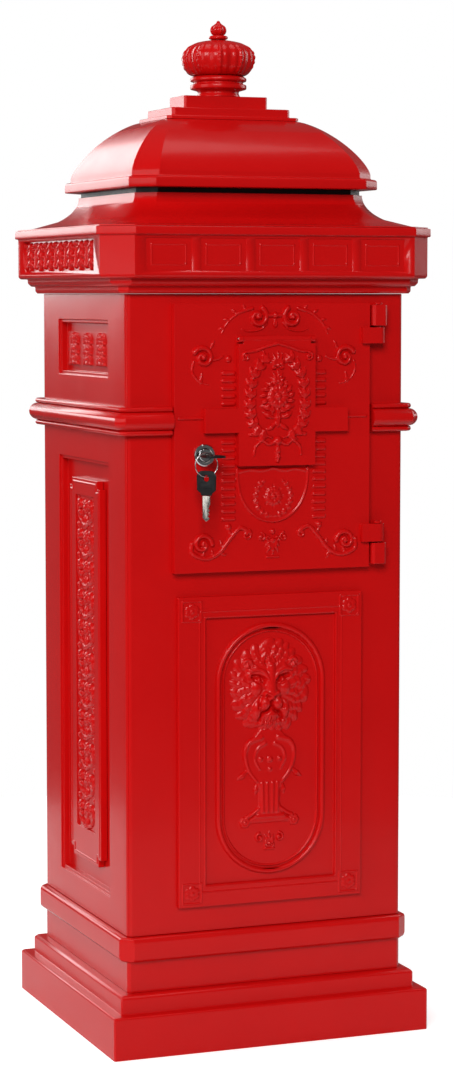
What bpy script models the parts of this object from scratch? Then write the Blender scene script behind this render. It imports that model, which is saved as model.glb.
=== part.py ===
"""Free-standing pillar letter box in cast aluminium, with a locking door and a letter flap.

Metres, +Z up. The origin is at the middle of the foot on the ground, and the door faces -Y.
The casting is built in courses from the ground up, each course standing a named distance proud of
the body, and everything that fits to it takes its place from the same values.
"""

import math

import bmesh
import bpy
from mathutils import Matrix, Vector

# Overall body and the gap that meeting pieces keep.
BODY_WIDTH = 0.2936
BODY_DEPTH = 0.2680
WALL = 0.007
SIDE_WALL = 0.0110
GAP = 0.0003
EDGE_BREAK = 0.0015
CORNER_BREAK = 0.003

# Heights of the courses, from the ground up.
SLAB_HEIGHT = 0.0425
STEP_HEIGHT = 0.0183
PLINTH_HEIGHT = 0.0316
BASE_BELT_HEIGHT = 0.0243
PANEL_HEIGHT = 0.6306
LOWER_STEP_HEIGHT = 0.0071
UPPER_STEP_HEIGHT = 0.0076
FRIEZE_HEIGHT = 0.0416
LEDGE_HEIGHT = 0.0082
COVE_HEIGHT = 0.0339
SEAT_HEIGHT = 0.0048
RIM_HEIGHT = 0.0103
RIM_STEP_HEIGHT = 0.0047
DOME_HEIGHT = 0.0554
ROOF_SLAB_HEIGHT = 0.0035
ROOF_BLOCK_HEIGHT = 0.0085
ROOF_TOP_HEIGHT = 0.0130
PEDESTAL_HEIGHT = 0.0215
CROWN_HEIGHT = 0.0364
BUD_HEIGHT = 0.0197

# How far each course stands proud of the body.
SLAB_PROUD = 0.0216
STEP_PROUD = 0.0105
BASE_BELT_PROUD = 0.0076
MID_BELT_PROUD = 0.0139
LOWER_STEP_PROUD = 0.0080
UPPER_STEP_PROUD = 0.0162
FRIEZE_PROUD = 0.0264
LEDGE_PROUD = 0.0298
COVE_FOOT_PROUD = 0.0268

# Roof.
NECK_HALF = (0.1215, 0.1050)
NECK_CUT = 0.017
SEAT_INSET = 0.0020
SEAT_WIDTH = 0.0295
LID_HALF = (0.1322, 0.1222)
LID_CUT = 0.021
LID_TOP_HALF = (0.0710, 0.0455)
LID_TOP_CUT = 0.007
LID_WALL = 0.004
LID_FLANGE = 0.046
RIM_INSET = 0.0050
DOME_FULLNESS = 1.4
ROOF_BLOCK_HALF = (0.0637, 0.0385)
ROOF_TOP_HALF = (0.0451, 0.0227)
BELT_FLANGE = 0.028
FLANGE_THICKNESS = 0.004

# Middle belt.
MID_BELT_LOW = 0.6100
MID_BELT_HEIGHT = 0.0280
BELT_BEAD_PROUD = 0.0060
BELT_BEAD_HEIGHT = 0.0048

# Base fixings.
FLOOR_PLATE_THICKNESS = 0.006
ANCHOR_HOLE_RADIUS = 0.0055
ANCHOR_SPACING = (0.200, 0.180)
BOLT_RADIUS = 0.003
BOLT_HEAD_RADIUS = 0.0055
BOLT_HEAD_HEIGHT = 0.004
BOLT_CLEARANCE = 0.0004
BASE_BOLT_INSET = 0.020
ROOF_BOLT_PLACE = (0.088, 0.070)

# Side panels.
SIDE_RECESS_DEPTH = 0.0085
SIDE_RECESS_HALF = 0.0790
UPPER_RECESS_LOW, UPPER_RECESS_HIGH = 0.6650, 0.7212
LOWER_RECESS_LOW, LOWER_RECESS_HIGH = 0.1460, 0.5810
UPPER_FIELD_HALF = 0.0660
UPPER_FIELD_LOW, UPPER_FIELD_HIGH = 0.6745, 0.7085
UPPER_FIELD_THICKNESS = 0.0020
LOWER_FIELD_HALF = 0.0480
LOWER_FIELD_LOW, LOWER_FIELD_HIGH = 0.1680, 0.5600
LOWER_FIELD_THICKNESS = 0.0070
FIELD_NOTCH = 0.0080
STRIP_HALF = 0.0290
STRIP_LOW, STRIP_HIGH = 0.2010, 0.5430
STRIP_DEPTH = 0.0022

# Corner angles inside the body.
ANGLE_LEG = 0.0130
ANGLE_THICKNESS = 0.003
ANGLE_MARGIN = 0.012

# Lower front ornament panel.
PANEL_CENTRE_X = 0.0025
ORNAMENT_HALF = 0.0980
ORNAMENT_LOW, ORNAMENT_HIGH = 0.1425, 0.4510
ORNAMENT_THICKNESS = 0.0055
ORNAMENT_FIELD_DEPTH = 0.0030
ORNAMENT_BORDER = 0.0290
ORNAMENT_END_BORDER = 0.0205
OVAL_HALF = 0.0580
OVAL_BORDER = 0.0045
OVAL_MARGIN = 0.0080

# Door.
DOOR_CENTRE_X = 0.0030
DOOR_WIDTH = 0.2070
DOOR_LOW, DOOR_HIGH = 0.4750, 0.7380
DOOR_THICKNESS = 0.0085
DOOR_SKIN = 0.0032
DOOR_RIM = 0.0080
DOOR_OVERLAP = 0.0120

# Hinges.
HINGE_OFFSET_X = 0.0095
KNUCKLE_RADIUS = 0.0065
KNUCKLE_CLEARANCE = 0.0010
HINGE_PIN_RADIUS = 0.0025
LUG_HALF_WIDTH = 0.0078
TAB_LENGTH = 0.0095
UPPER_LUG = (0.7156, 0.7361)
UPPER_TAB = (0.6980, 0.7138)
LOWER_TAB = (0.5005, 0.5182)
LOWER_LUG = (0.4780, 0.4990)
PIN_HEAD_HEIGHT = 0.002
PIN_HEAD_RADIUS = 0.0042
LUG_SCREW_RADIUS = 0.0025
LUG_SCREW_HEAD_RADIUS = 0.00475

# Letter slot and its flap.
FLAP_CENTRE_X = 0.0045
SLOT_WIDTH = 0.1420
SLOT_LOW, SLOT_HIGH = 0.6145, 0.6335
FLAP_PLATE_HALF = 0.0405
FLAP_LOW, FLAP_HIGH = 0.5790, 0.7065
FLAP_ARM_HALF = 0.0755
FLAP_ARM_LOW, FLAP_ARM_HIGH = 0.6118, 0.6355
FLAP_SKIN = 0.0035
FLAP_RIM = 0.0020
FLAP_STAND_OFF = 0.0035
FLAP_PIN_Z = 0.7030
FLAP_PIN_OFFSET = 0.0042
FLAP_PIN_RADIUS = 0.0015
FLAP_KNUCKLE_RADIUS = 0.0032
FLAP_EAR_WIDTH = 0.0048

# Sheet-metal deflector behind the slot.
BAFFLE_THICKNESS = 0.0015
BAFFLE_HALF_WIDTH = 0.0750
BAFFLE_REACH = 0.036
BAFFLE_DROP = 0.042

# Lock and keys.
LOCK_X = -0.0700
LOCK_Z = 0.5904
LOCK_FACE_RADIUS = 0.0108
LOCK_FACE_PROUD = 0.0040
LOCK_BODY_RADIUS = 0.0088
LOCK_BODY_LENGTH = 0.0200
LOCK_NUT_RADIUS = 0.0120
LOCK_NUT_THICKNESS = 0.0028
PLUG_RADIUS = 0.0062
PLUG_CLEARANCE = 0.0004
KEYWAY = (0.0092, 0.0026)
KEYWAY_DEPTH = 0.0175
CAM_WIDTH = 0.0125
CAM_LENGTH = 0.0235
CAM_THICKNESS = 0.0020
CAM_SCREW_RADIUS = 0.0016
KEY_BLADE = (0.0080, 0.0018)
KEY_BLADE_LENGTH = 0.0250
KEY_BLADE_SHOWN = 0.0090
KEY_HEAD_WIDTH = 0.0210
KEY_HEAD_LENGTH = 0.0240
KEY_HEAD_THICKNESS = 0.0022
KEY_HOLE_RADIUS = 0.0032
KEY_HOLE_INSET = 0.0075
RING_RADIUS = 0.0115
RING_WIRE = 0.0007
RING_HALF_CHORD = 0.0085
SPARE_KEY_TURN_DEG = 50
SPARE_KEY_PLAY = 0.0009

# Mail shelf.
SHELF_Z = 0.4790
SHELF_THICKNESS = 0.0015
SHELF_CLEARANCE = 0.0040
SHELF_LIP = 0.0100
RAIL_LEG = 0.0140
RAIL_THICKNESS = 0.0020

# Crown.
CROWN_RADIUS = 0.0385
CROWN_RING_RADIUS = 0.0287
CROWN_WAIST_RADIUS = 0.0205
BUD_RADIUS = 0.0080
BUD_COLLAR_RADIUS = 0.0103
STUD_RADIUS = 0.0030
STUD_BITE = 0.0080
STUD_TAIL = 0.0150
CROWN_NUT_RADIUS = 0.0060
CROWN_NUT_HEIGHT = 0.0050

ROUND_STEPS = 24
TURNED_STEPS = 32

HALF_W, HALF_D = BODY_WIDTH / 2, BODY_DEPTH / 2
Z_STEP = SLAB_HEIGHT
Z_PLINTH = Z_STEP + STEP_HEIGHT
Z_BELT = Z_PLINTH + PLINTH_HEIGHT
Z_PANEL = Z_BELT + BASE_BELT_HEIGHT
Z_CORNICE = Z_PANEL + PANEL_HEIGHT
Z_UPPER_STEP = Z_CORNICE + LOWER_STEP_HEIGHT
Z_FRIEZE = Z_UPPER_STEP + UPPER_STEP_HEIGHT
Z_LEDGE = Z_FRIEZE + FRIEZE_HEIGHT
Z_COVE = Z_LEDGE + LEDGE_HEIGHT
Z_SEAT = Z_COVE + COVE_HEIGHT
Z_RIM = Z_SEAT + SEAT_HEIGHT + GAP
Z_RIM_STEP = Z_RIM + RIM_HEIGHT
Z_DOME = Z_RIM_STEP + RIM_STEP_HEIGHT
Z_ROOF_SLAB = Z_DOME + DOME_HEIGHT
Z_ROOF_BLOCK = Z_ROOF_SLAB + ROOF_SLAB_HEIGHT
Z_ROOF_TOP = Z_ROOF_BLOCK + ROOF_BLOCK_HEIGHT
Z_PEDESTAL = Z_ROOF_TOP + ROOF_TOP_HEIGHT
Z_CROWN = Z_PEDESTAL + PEDESTAL_HEIGHT
Z_BUD = Z_CROWN + CROWN_HEIGHT
Z_TOP = Z_BUD + BUD_HEIGHT

FACE_Y = -HALF_D
DOOR_BACK = FACE_Y - 0.0005
DOOR_FRONT = DOOR_BACK - DOOR_THICKNESS
DOOR_LEFT = DOOR_CENTRE_X - DOOR_WIDTH / 2
DOOR_RIGHT = DOOR_CENTRE_X + DOOR_WIDTH / 2
HINGE_X = DOOR_RIGHT + HINGE_OFFSET_X
HINGE_Y = FACE_Y - KNUCKLE_RADIUS - KNUCKLE_CLEARANCE
ANGLE_ROOM = HALF_W - SIDE_WALL - HINGE_X - LUG_SCREW_HEAD_RADIUS - 3 * GAP
ANGLE_REACH = min(ANGLE_LEG, ANGLE_ROOM)
FLAP_BACK = DOOR_FRONT - GAP
FLAP_PIN_Y = DOOR_FRONT - FLAP_PIN_OFFSET
FLAP_FRONT = DOOR_FRONT - FLAP_STAND_OFF - FLAP_SKIN
LOCK_FACE_Y = DOOR_FRONT - LOCK_FACE_PROUD
LOCK_BACK_Y = LOCK_FACE_Y + LOCK_BODY_LENGTH
KEY_HEAD_BACK_Y = LOCK_FACE_Y - KEY_BLADE_SHOWN
KEY_HEAD_FRONT_Y = KEY_HEAD_BACK_Y - KEY_HEAD_LENGTH
KEY_HOLE_Y = KEY_HEAD_FRONT_Y + KEY_HOLE_INSET
RING_DROP = math.sqrt(RING_RADIUS**2 - RING_HALF_CHORD**2)

MATERIALS = {
    "red_enamel": ((0.52, 0.004, 0.004, 1.0), 0.0, 0.28),
    "chrome": ((0.75, 0.75, 0.76, 1.0), 1.0, 0.12),
    "zinc_steel": ((0.55, 0.56, 0.57, 1.0), 1.0, 0.40),
    "nickel_silver": ((0.70, 0.69, 0.64, 1.0), 1.0, 0.25),
    "black_plastic": ((0.012, 0.012, 0.013, 1.0), 0.0, 0.38),
}


def clear_scene():
    for item in list(bpy.data.objects):
        bpy.data.objects.remove(item)


def make_collections():
    parts = bpy.data.collections.new("pillar_letter_box")
    cutters = bpy.data.collections.new("cutters")
    for collection in (parts, cutters):
        bpy.context.scene.collection.children.link(collection)
    cutters.hide_render = True
    return parts, cutters


clear_scene()
PARTS, CUTTERS = make_collections()


def material(name):
    found = bpy.data.materials.get(name)
    if found:
        return found
    colour, metallic, roughness = MATERIALS[name]
    made = bpy.data.materials.new(name)
    made.use_nodes = True
    shader = made.node_tree.nodes["Principled BSDF"]
    shader.inputs["Base Color"].default_value = colour
    shader.inputs["Metallic"].default_value = metallic
    shader.inputs["Roughness"].default_value = roughness
    made.diffuse_color = colour
    return made


def finish(obj, finish_name, node_name):
    """Gives a new object its name, its own copy of a finish and its place among the parts."""
    obj.name = node_name
    obj.data.name = node_name
    own = material(finish_name).copy()
    own.name = f"{node_name}_{finish_name}"
    obj.data.materials.clear()
    obj.data.materials.append(own)
    PARTS.objects.link(obj)
    return obj


def object_from(bm, name="shape"):
    bmesh.ops.recalc_face_normals(bm, faces=bm.faces)
    mesh = bpy.data.meshes.new(name)
    bm.to_mesh(mesh)
    bm.free()
    return bpy.data.objects.new(name, mesh)


def smooth(obj, degrees=35):
    obj.data.shade_smooth()
    obj.data.set_sharp_from_angle(angle=math.radians(degrees))
    return obj


def block(low, high):
    """A box between two corners, with its origin at its middle."""
    low, high = Vector(low), Vector(high)
    bm = bmesh.new()
    bmesh.ops.create_cube(bm, size=1.0)
    bmesh.ops.scale(bm, vec=high - low, verts=bm.verts)
    made = object_from(bm)
    made.location = (low + high) / 2
    return made


def turned_to(axis):
    """The rotation that takes a local +Z onto a world axis."""
    return {"X": (0, math.pi / 2, 0), "Y": (-math.pi / 2, 0, 0), "Z": (0, 0, 0)}[axis]


def rod(radius, start, length, axis, steps=ROUND_STEPS):
    """A cylinder from start, running length along +X, +Y or +Z."""
    bm = bmesh.new()
    bmesh.ops.create_cone(
        bm, cap_ends=True, segments=steps, radius1=radius, radius2=radius, depth=length
    )
    bmesh.ops.translate(bm, vec=(0, 0, length / 2), verts=bm.verts)
    made = smooth(object_from(bm))
    made.location = start
    made.rotation_euler = turned_to(axis)
    return made


def arc(centre, radius, start, end, steps):
    """Points on a circle from one angle to another, in degrees."""
    angles = [math.radians(start + (end - start) * i / steps) for i in range(steps + 1)]
    return [(centre[0] + radius * math.cos(a), centre[1] + radius * math.sin(a)) for a in angles]


def circle(centre, radius, steps=ROUND_STEPS):
    return arc(centre, radius, 0, 360, steps)[:-1]


def rectangle(x_low, y_low, x_high, y_high):
    return [(x_low, y_low), (x_high, y_low), (x_high, y_high), (x_low, y_high)]


def filled_curve(outlines, thickness):
    """A 2D curve of an outline and its holes, filled and extruded, as a closed mesh."""
    curve = bpy.data.curves.new("outline", "CURVE")
    curve.dimensions = "2D"
    curve.fill_mode = "BOTH"
    curve.extrude = thickness / 2
    for outline in outlines:
        spline = curve.splines.new("POLY")
        spline.points.add(len(outline) - 1)
        for point, (x, y) in zip(spline.points, outline):
            point.co = (x, y, 0, 1)
        spline.use_cyclic_u = True
    drawn = bpy.data.objects.new("outline", curve)
    CUTTERS.objects.link(drawn)
    bpy.context.view_layer.update()
    graph = bpy.context.evaluated_depsgraph_get()
    bm = bmesh.new()
    bm.from_mesh(bpy.data.meshes.new_from_object(drawn.evaluated_get(graph)))
    bmesh.ops.remove_doubles(bm, verts=bm.verts, dist=1e-6)
    bpy.data.objects.remove(drawn)
    return bm


def filled_loop(outline, thickness):
    """One outline filled and extruded, which keeps corners that lie in line with each other."""
    bm = bmesh.new()
    verts = [bm.verts.new((x, y, -thickness / 2)) for x, y in outline]
    edges = [bm.edges.new((verts[i - 1], verts[i])) for i in range(len(verts))]
    faces = bmesh.ops.contextual_create(bm, geom=edges)["faces"]
    raised = bmesh.ops.extrude_face_region(bm, geom=faces, use_keep_orig=True)["geom"]
    lifted = [item for item in raised if isinstance(item, bmesh.types.BMVert)]
    bmesh.ops.translate(bm, vec=(0, 0, thickness), verts=lifted)
    return bm


def extruded(outlines, low, high, plane="XY"):
    """A flat outline, with any holes, filled and extruded between two depths across its plane."""
    single = len(outlines) == 1
    bm = filled_loop(outlines[0], high - low) if single else filled_curve(outlines, high - low)
    made = object_from(bm)
    middle = (low + high) / 2
    if plane == "XY":
        made.location = (0, 0, middle)
    elif plane == "XZ":
        made.rotation_euler = (math.pi / 2, 0, 0)
        made.location = (0, middle, 0)
    else:
        made.rotation_euler = (math.pi / 2, 0, math.pi / 2)
        made.location = (middle, 0, 0)
    return made


def cut_corner_plan(half_x, half_y, cut):
    """A rectangle's plan outline with its corners cut off at 45 degrees, anticlockwise."""
    points = []
    for index, (sx, sy) in enumerate(((1, -1), (1, 1), (-1, 1), (-1, -1))):
        pair = [
            (sx * (half_x - cut), sy * half_y),
            (sx * half_x, sy * (half_y - cut)),
        ]
        points += pair if index % 2 == 0 else pair[::-1]
    return points


def next_loop(bm, loop, section):
    """Extrudes an edge loop once and moves the new loop to a section's outline and height."""
    half_x, half_y, cut, z = section
    edges = [bm.edges.get((loop[i - 1], loop[i])) for i in range(len(loop))]
    found = bmesh.ops.extrude_edge_only(bm, edges=edges)["geom"]
    fresh = {item for item in found if isinstance(item, bmesh.types.BMVert)}
    moved = []
    for old, (x, y) in zip(loop, cut_corner_plan(half_x, half_y, cut)):
        new = next(e.other_vert(old) for e in old.link_edges if e.other_vert(old) in fresh)
        new.co = (x, y, z)
        moved.append(new)
    return moved


def moulded(sections, ring):
    """A casting lofted through cut-corner sections (half x, half y, cut, height).

    A ring's last section joins its first round the inside; a closed one is capped at both ends.
    """
    bm = bmesh.new()
    half_x, half_y, cut, z = sections[0]
    first = [bm.verts.new((x, y, z)) for x, y in cut_corner_plan(half_x, half_y, cut)]
    first_edges = [bm.edges.new((first[i - 1], first[i])) for i in range(len(first))]
    loop = first
    for section in sections[1:]:
        loop = next_loop(bm, loop, section)
    last_edges = [bm.edges.get((loop[i - 1], loop[i])) for i in range(len(loop))]
    if ring:
        bmesh.ops.bridge_loops(bm, edges=first_edges + last_edges)
    else:
        bmesh.ops.holes_fill(bm, edges=first_edges + last_edges, sides=0)
    return smooth(object_from(bm))


def course(proud, z, cut=None):
    """A section that stands proud of the body at a height."""
    return (HALF_W + proud, HALF_D + proud, max(proud, EDGE_BREAK) if cut is None else cut, z)


def turned(profile, steps=TURNED_STEPS, bored=False):
    """A turned shape from a profile of (radius, height) running down its outer side."""
    mesh = bpy.data.meshes.new("profile")
    count = len(profile)
    edges = [(i, i + 1) for i in range(count - 1)]
    if bored:
        edges.append((count - 1, 0))
    mesh.from_pydata([(r, 0, z) for r, z in profile], edges, [])
    made = bpy.data.objects.new("turned", mesh)
    screw = made.modifiers.new("turn", "SCREW")
    screw.axis = "Z"
    screw.angle = 2 * math.pi
    screw.steps = steps
    screw.render_steps = steps
    screw.use_merge_vertices = True
    screw.merge_threshold = 1e-5
    screw.use_smooth_shade = True
    return made


def combine(target, tool, operation):
    """Joins or cuts one object with another, which becomes a hidden helper."""
    if tool.name not in CUTTERS.objects:
        CUTTERS.objects.link(tool)
    tool.hide_render = True
    tool.display_type = "WIRE"
    change = target.modifiers.new(operation.lower(), "BOOLEAN")
    change.operation = operation
    change.object = tool
    return target


def cut(target, *tools):
    for tool in tools:
        combine(target, tool, "DIFFERENCE")
    return target


def join(target, *tools):
    for tool in tools:
        combine(target, tool, "UNION")
    return target


def pivot(name, place):
    """An empty on a joint's axis, which the pieces that move with it are parented to."""
    made = bpy.data.objects.new(name, None)
    made.location = place
    made.empty_display_size = 0.02
    PARTS.objects.link(made)
    return made


def hang(parent, *children):
    bpy.context.view_layer.update()
    for child in children:
        child.parent = parent
        child.matrix_parent_inverse = parent.matrix_world.inverted()


# ---------------------------------------------------------------- base courses


def bolt_places(place_x, place_y):
    names = {(-1, -1): "front_left", (1, -1): "front_right", (-1, 1): "back_left", (1, 1): "back_right"}
    return {name: (sx * place_x, sy * place_y) for (sx, sy), name in names.items()}


def make_base():
    bottom_inside = STEP_PROUD - WALL
    flange_inside = -BELT_FLANGE - WALL
    sections = [
        course(SLAB_PROUD, 0, EDGE_BREAK),
        course(SLAB_PROUD, SLAB_HEIGHT - 0.002, EDGE_BREAK),
        course(SLAB_PROUD - 0.002, SLAB_HEIGHT, EDGE_BREAK),
        course(STEP_PROUD, SLAB_HEIGHT, EDGE_BREAK),
        course(STEP_PROUD, Z_PLINTH - 0.003, EDGE_BREAK),
        course(STEP_PROUD - 0.003, Z_PLINTH, EDGE_BREAK),
        course(flange_inside, Z_PLINTH, EDGE_BREAK),
        course(flange_inside, Z_PLINTH - FLANGE_THICKNESS, EDGE_BREAK),
        course(bottom_inside, Z_PLINTH - FLANGE_THICKNESS, EDGE_BREAK),
        course(bottom_inside, 0, EDGE_BREAK),
    ]
    base = moulded(sections, ring=True)
    low = Z_PLINTH - FLANGE_THICKNESS
    for x, y in base_bolt_places().values():
        hole = rod(BOLT_RADIUS + BOLT_CLEARANCE, (x, y, low - 0.002), 0.008, "Z", 16)
        cut(base, hole)
    finish(base, "red_enamel", "base_casting")

    half_x = HALF_W + bottom_inside - GAP
    half_y = HALF_D + bottom_inside - GAP
    holes = [
        circle((sx * ANCHOR_SPACING[0] / 2, sy * ANCHOR_SPACING[1] / 2), ANCHOR_HOLE_RADIUS, 16)
        for sx in (-1, 1)
        for sy in (-1, 1)
    ]
    outline = cut_corner_plan(half_x, half_y, EDGE_BREAK)
    plate = extruded([outline, *holes], 0, FLOOR_PLATE_THICKNESS)
    finish(plate, "zinc_steel", "base_floor_plate")


def base_bolt_places():
    return bolt_places(HALF_W - WALL - BASE_BOLT_INSET, HALF_D - WALL - BASE_BOLT_INSET)


def make_lower_frame():
    low = Z_PLINTH + GAP
    round_over = 0.0026
    sections = [
        course(0, low, CORNER_BREAK),
        course(0, Z_BELT, CORNER_BREAK),
        course(BASE_BELT_PROUD - round_over, Z_BELT, 0.008),
        course(BASE_BELT_PROUD, Z_BELT + round_over, 0.012),
        course(BASE_BELT_PROUD, Z_PANEL - round_over, 0.012),
        course(BASE_BELT_PROUD - round_over, Z_PANEL, 0.008),
        course(-WALL, Z_PANEL, EDGE_BREAK),
        course(-WALL, low + FLANGE_THICKNESS, EDGE_BREAK),
        course(-WALL - BELT_FLANGE, low + FLANGE_THICKNESS, EDGE_BREAK),
        course(-WALL - BELT_FLANGE, low, EDGE_BREAK),
    ]
    frame = moulded(sections, ring=True)
    for x, y in base_bolt_places().values():
        hole = rod(BOLT_RADIUS + BOLT_CLEARANCE, (x, y, low - 0.002), 0.008, "Z", 16)
        cut(frame, hole)
    finish(frame, "red_enamel", "lower_frame")


def hex_bolt(x, y, head_low, shank_high, name):
    """A bolt whose hexagon head is below and whose shank runs up."""
    head = rod(BOLT_HEAD_RADIUS, (x, y, head_low), BOLT_HEAD_HEIGHT, "Z", 6)
    shank_low = head_low + BOLT_HEAD_HEIGHT - 0.001
    join(head, rod(BOLT_RADIUS, (x, y, shank_low), shank_high - shank_low, "Z", 12))
    finish(head, "zinc_steel", name)


def make_base_bolts():
    head_low = Z_PLINTH - FLANGE_THICKNESS - GAP - BOLT_HEAD_HEIGHT
    shank_high = Z_PLINTH + FLANGE_THICKNESS + 0.006
    for place, (x, y) in base_bolt_places().items():
        hex_bolt(x, y, head_low, shank_high, f"base_bolt_{place}")


# ---------------------------------------------------------------- body panels


def mitred_wall_plan(side, ends):
    """Mirrors a wall's end, drawn in the first quadrant, to both ends of the wall on one side."""
    if side in ("front", "back"):
        sy = -1 if side == "front" else 1
        near = [(x, sy * y) for x, y in ends]
        return near + [(-x, y) for x, y in near[::-1]]
    sx = -1 if side == "left" else 1
    near = [(sx * x, y) for x, y in ends]
    return near + [(x, -y) for x, y in near[::-1]]


def wall_ends():
    """The mitred ends of the front and side walls, a gap apart along the mitre."""
    off = GAP / (2 * math.sqrt(2))
    middle = CORNER_BREAK / 2
    front = [
        (HALF_W - CORNER_BREAK, HALF_D),
        (HALF_W - middle - off, HALF_D - middle + off),
        (HALF_W - WALL - 2 * off, HALF_D - WALL),
    ]
    side = [
        (HALF_W, HALF_D - CORNER_BREAK),
        (HALF_W - middle + off, HALF_D - middle - off),
        (HALF_W - WALL - GAP + 2 * off, HALF_D - WALL - GAP),
        (HALF_W - SIDE_WALL, HALF_D - WALL - GAP),
    ]
    return front, side


def lug_screw_places():
    return [(HINGE_X, sum(UPPER_LUG) / 2), (HINGE_X, sum(LOWER_LUG) / 2)]


def make_walls():
    low, high = Z_PANEL + GAP, Z_CORNICE - GAP
    front_ends, side_ends = wall_ends()
    front = extruded([mitred_wall_plan("front", front_ends)], low, high)
    opening = block(
        (DOOR_LEFT + DOOR_OVERLAP, FACE_Y - 0.01, DOOR_LOW + DOOR_OVERLAP),
        (DOOR_RIGHT - DOOR_OVERLAP, FACE_Y + 0.02, DOOR_HIGH - DOOR_OVERLAP),
    )
    cut(front, opening)
    for x, z in lug_screw_places():
        cut(front, rod(LUG_SCREW_RADIUS + BOLT_CLEARANCE, (x, FACE_Y - 0.002, z), 0.014, "Y", 12))
    finish(front, "red_enamel", "front_panel")
    back = extruded([mitred_wall_plan("back", front_ends)], low, high)
    finish(back, "red_enamel", "back_panel")
    for side, name in ((-1, "left"), (1, "right")):
        wall = extruded([mitred_wall_plan(name, side_ends)], low, high)
        recesses = ((UPPER_RECESS_LOW, UPPER_RECESS_HIGH), (LOWER_RECESS_LOW, LOWER_RECESS_HIGH))
        for recess_low, recess_high in recesses:
            near = side * (HALF_W - SIDE_RECESS_DEPTH)
            far = side * (HALF_W + 0.005)
            cutter = block(
                (min(near, far), -SIDE_RECESS_HALF, recess_low),
                (max(near, far), SIDE_RECESS_HALF, recess_high),
            )
            cut(wall, cutter)
        finish(wall, "red_enamel", f"{name}_side_panel")


def side_depths(side, start, thickness):
    """Low and high X of a layer that starts a distance inside the wall's face."""
    inner = side * (HALF_W - start)
    outer = side * (HALF_W - start + thickness)
    return min(inner, outer), max(inner, outer)


def make_side_ornaments():
    seat = SIDE_RECESS_DEPTH - GAP
    for side, name in ((-1, "left"), (1, "right")):
        low, high = side_depths(side, seat, LOWER_FIELD_THICKNESS)
        half = LOWER_FIELD_HALF
        outline = rectangle(-half, LOWER_FIELD_LOW, half, LOWER_FIELD_HIGH)
        field = extruded([outline], low, high, "YZ")
        for y in (-half, half):
            for z in (LOWER_FIELD_LOW, LOWER_FIELD_HIGH):
                reach = Vector((0.01, FIELD_NOTCH, FIELD_NOTCH))
                middle = Vector(((low + high) / 2, y, z))
                cut(field, block(middle - reach, middle + reach))
        floor = seat - LOWER_FIELD_THICKNESS + STRIP_DEPTH
        strip_low, strip_high = side_depths(side, floor, STRIP_DEPTH + 0.005)
        sunk = block((strip_low, -STRIP_HALF, STRIP_LOW), (strip_high, STRIP_HALF, STRIP_HIGH))
        cut(field, sunk)
        finish(field, "red_enamel", f"{name}_lower_ornament")
        low, high = side_depths(side, seat, UPPER_FIELD_THICKNESS)
        half = UPPER_FIELD_HALF
        outline = rectangle(-half, UPPER_FIELD_LOW, half, UPPER_FIELD_HIGH)
        field = extruded([outline], low, high, "YZ")
        finish(field, "red_enamel", f"{name}_upper_ornament")


def make_corner_angles():
    """Four steel angles inside the body's corners, which the walls are screwed to."""
    low, high = Z_PANEL + ANGLE_MARGIN, Z_CORNICE - ANGLE_MARGIN
    corner_x, corner_y = HALF_W - SIDE_WALL - GAP, HALF_D - WALL - GAP
    outline = [
        (0, 0),
        (-ANGLE_REACH, 0),
        (-ANGLE_REACH, -ANGLE_THICKNESS),
        (-ANGLE_THICKNESS, -ANGLE_THICKNESS),
        (-ANGLE_THICKNESS, -ANGLE_REACH),
        (0, -ANGLE_REACH),
    ]
    for name, (sx, sy) in bolt_places(1, 1).items():
        placed = [(sx * (corner_x + x), sy * (corner_y + y)) for x, y in outline]
        finish(extruded([placed], low, high), "zinc_steel", f"corner_angle_{name}")


def oval(half, low, high, steps=16):
    """An upright stadium outline."""
    top = arc((0, high - half), half, 0, 180, steps)
    bottom = arc((0, low + half), half, 180, 360, steps)
    return [(x + PANEL_CENTRE_X, z) for x, z in top + bottom]


def make_front_ornament():
    back = FACE_Y - GAP
    front = back - ORNAMENT_THICKNESS
    left, right = PANEL_CENTRE_X - ORNAMENT_HALF, PANEL_CENTRE_X + ORNAMENT_HALF
    panel = extruded([rectangle(left, ORNAMENT_LOW, right, ORNAMENT_HIGH)], front, back, "XZ")
    field_floor = front + ORNAMENT_FIELD_DEPTH
    field = block(
        (left + ORNAMENT_BORDER, front - 0.01, ORNAMENT_LOW + ORNAMENT_END_BORDER),
        (right - ORNAMENT_BORDER, field_floor, ORNAMENT_HIGH - ORNAMENT_END_BORDER),
    )
    cut(panel, field)
    low = ORNAMENT_LOW + ORNAMENT_END_BORDER + OVAL_MARGIN
    high = ORNAMENT_HIGH - ORNAMENT_END_BORDER - OVAL_MARGIN
    inner = oval(OVAL_HALF - OVAL_BORDER, low + OVAL_BORDER, high - OVAL_BORDER)
    ring = extruded([oval(OVAL_HALF, low, high), inner], front, field_floor + 0.001, "XZ")
    join(panel, ring)
    finish(panel, "red_enamel", "front_ornament_panel")


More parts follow.
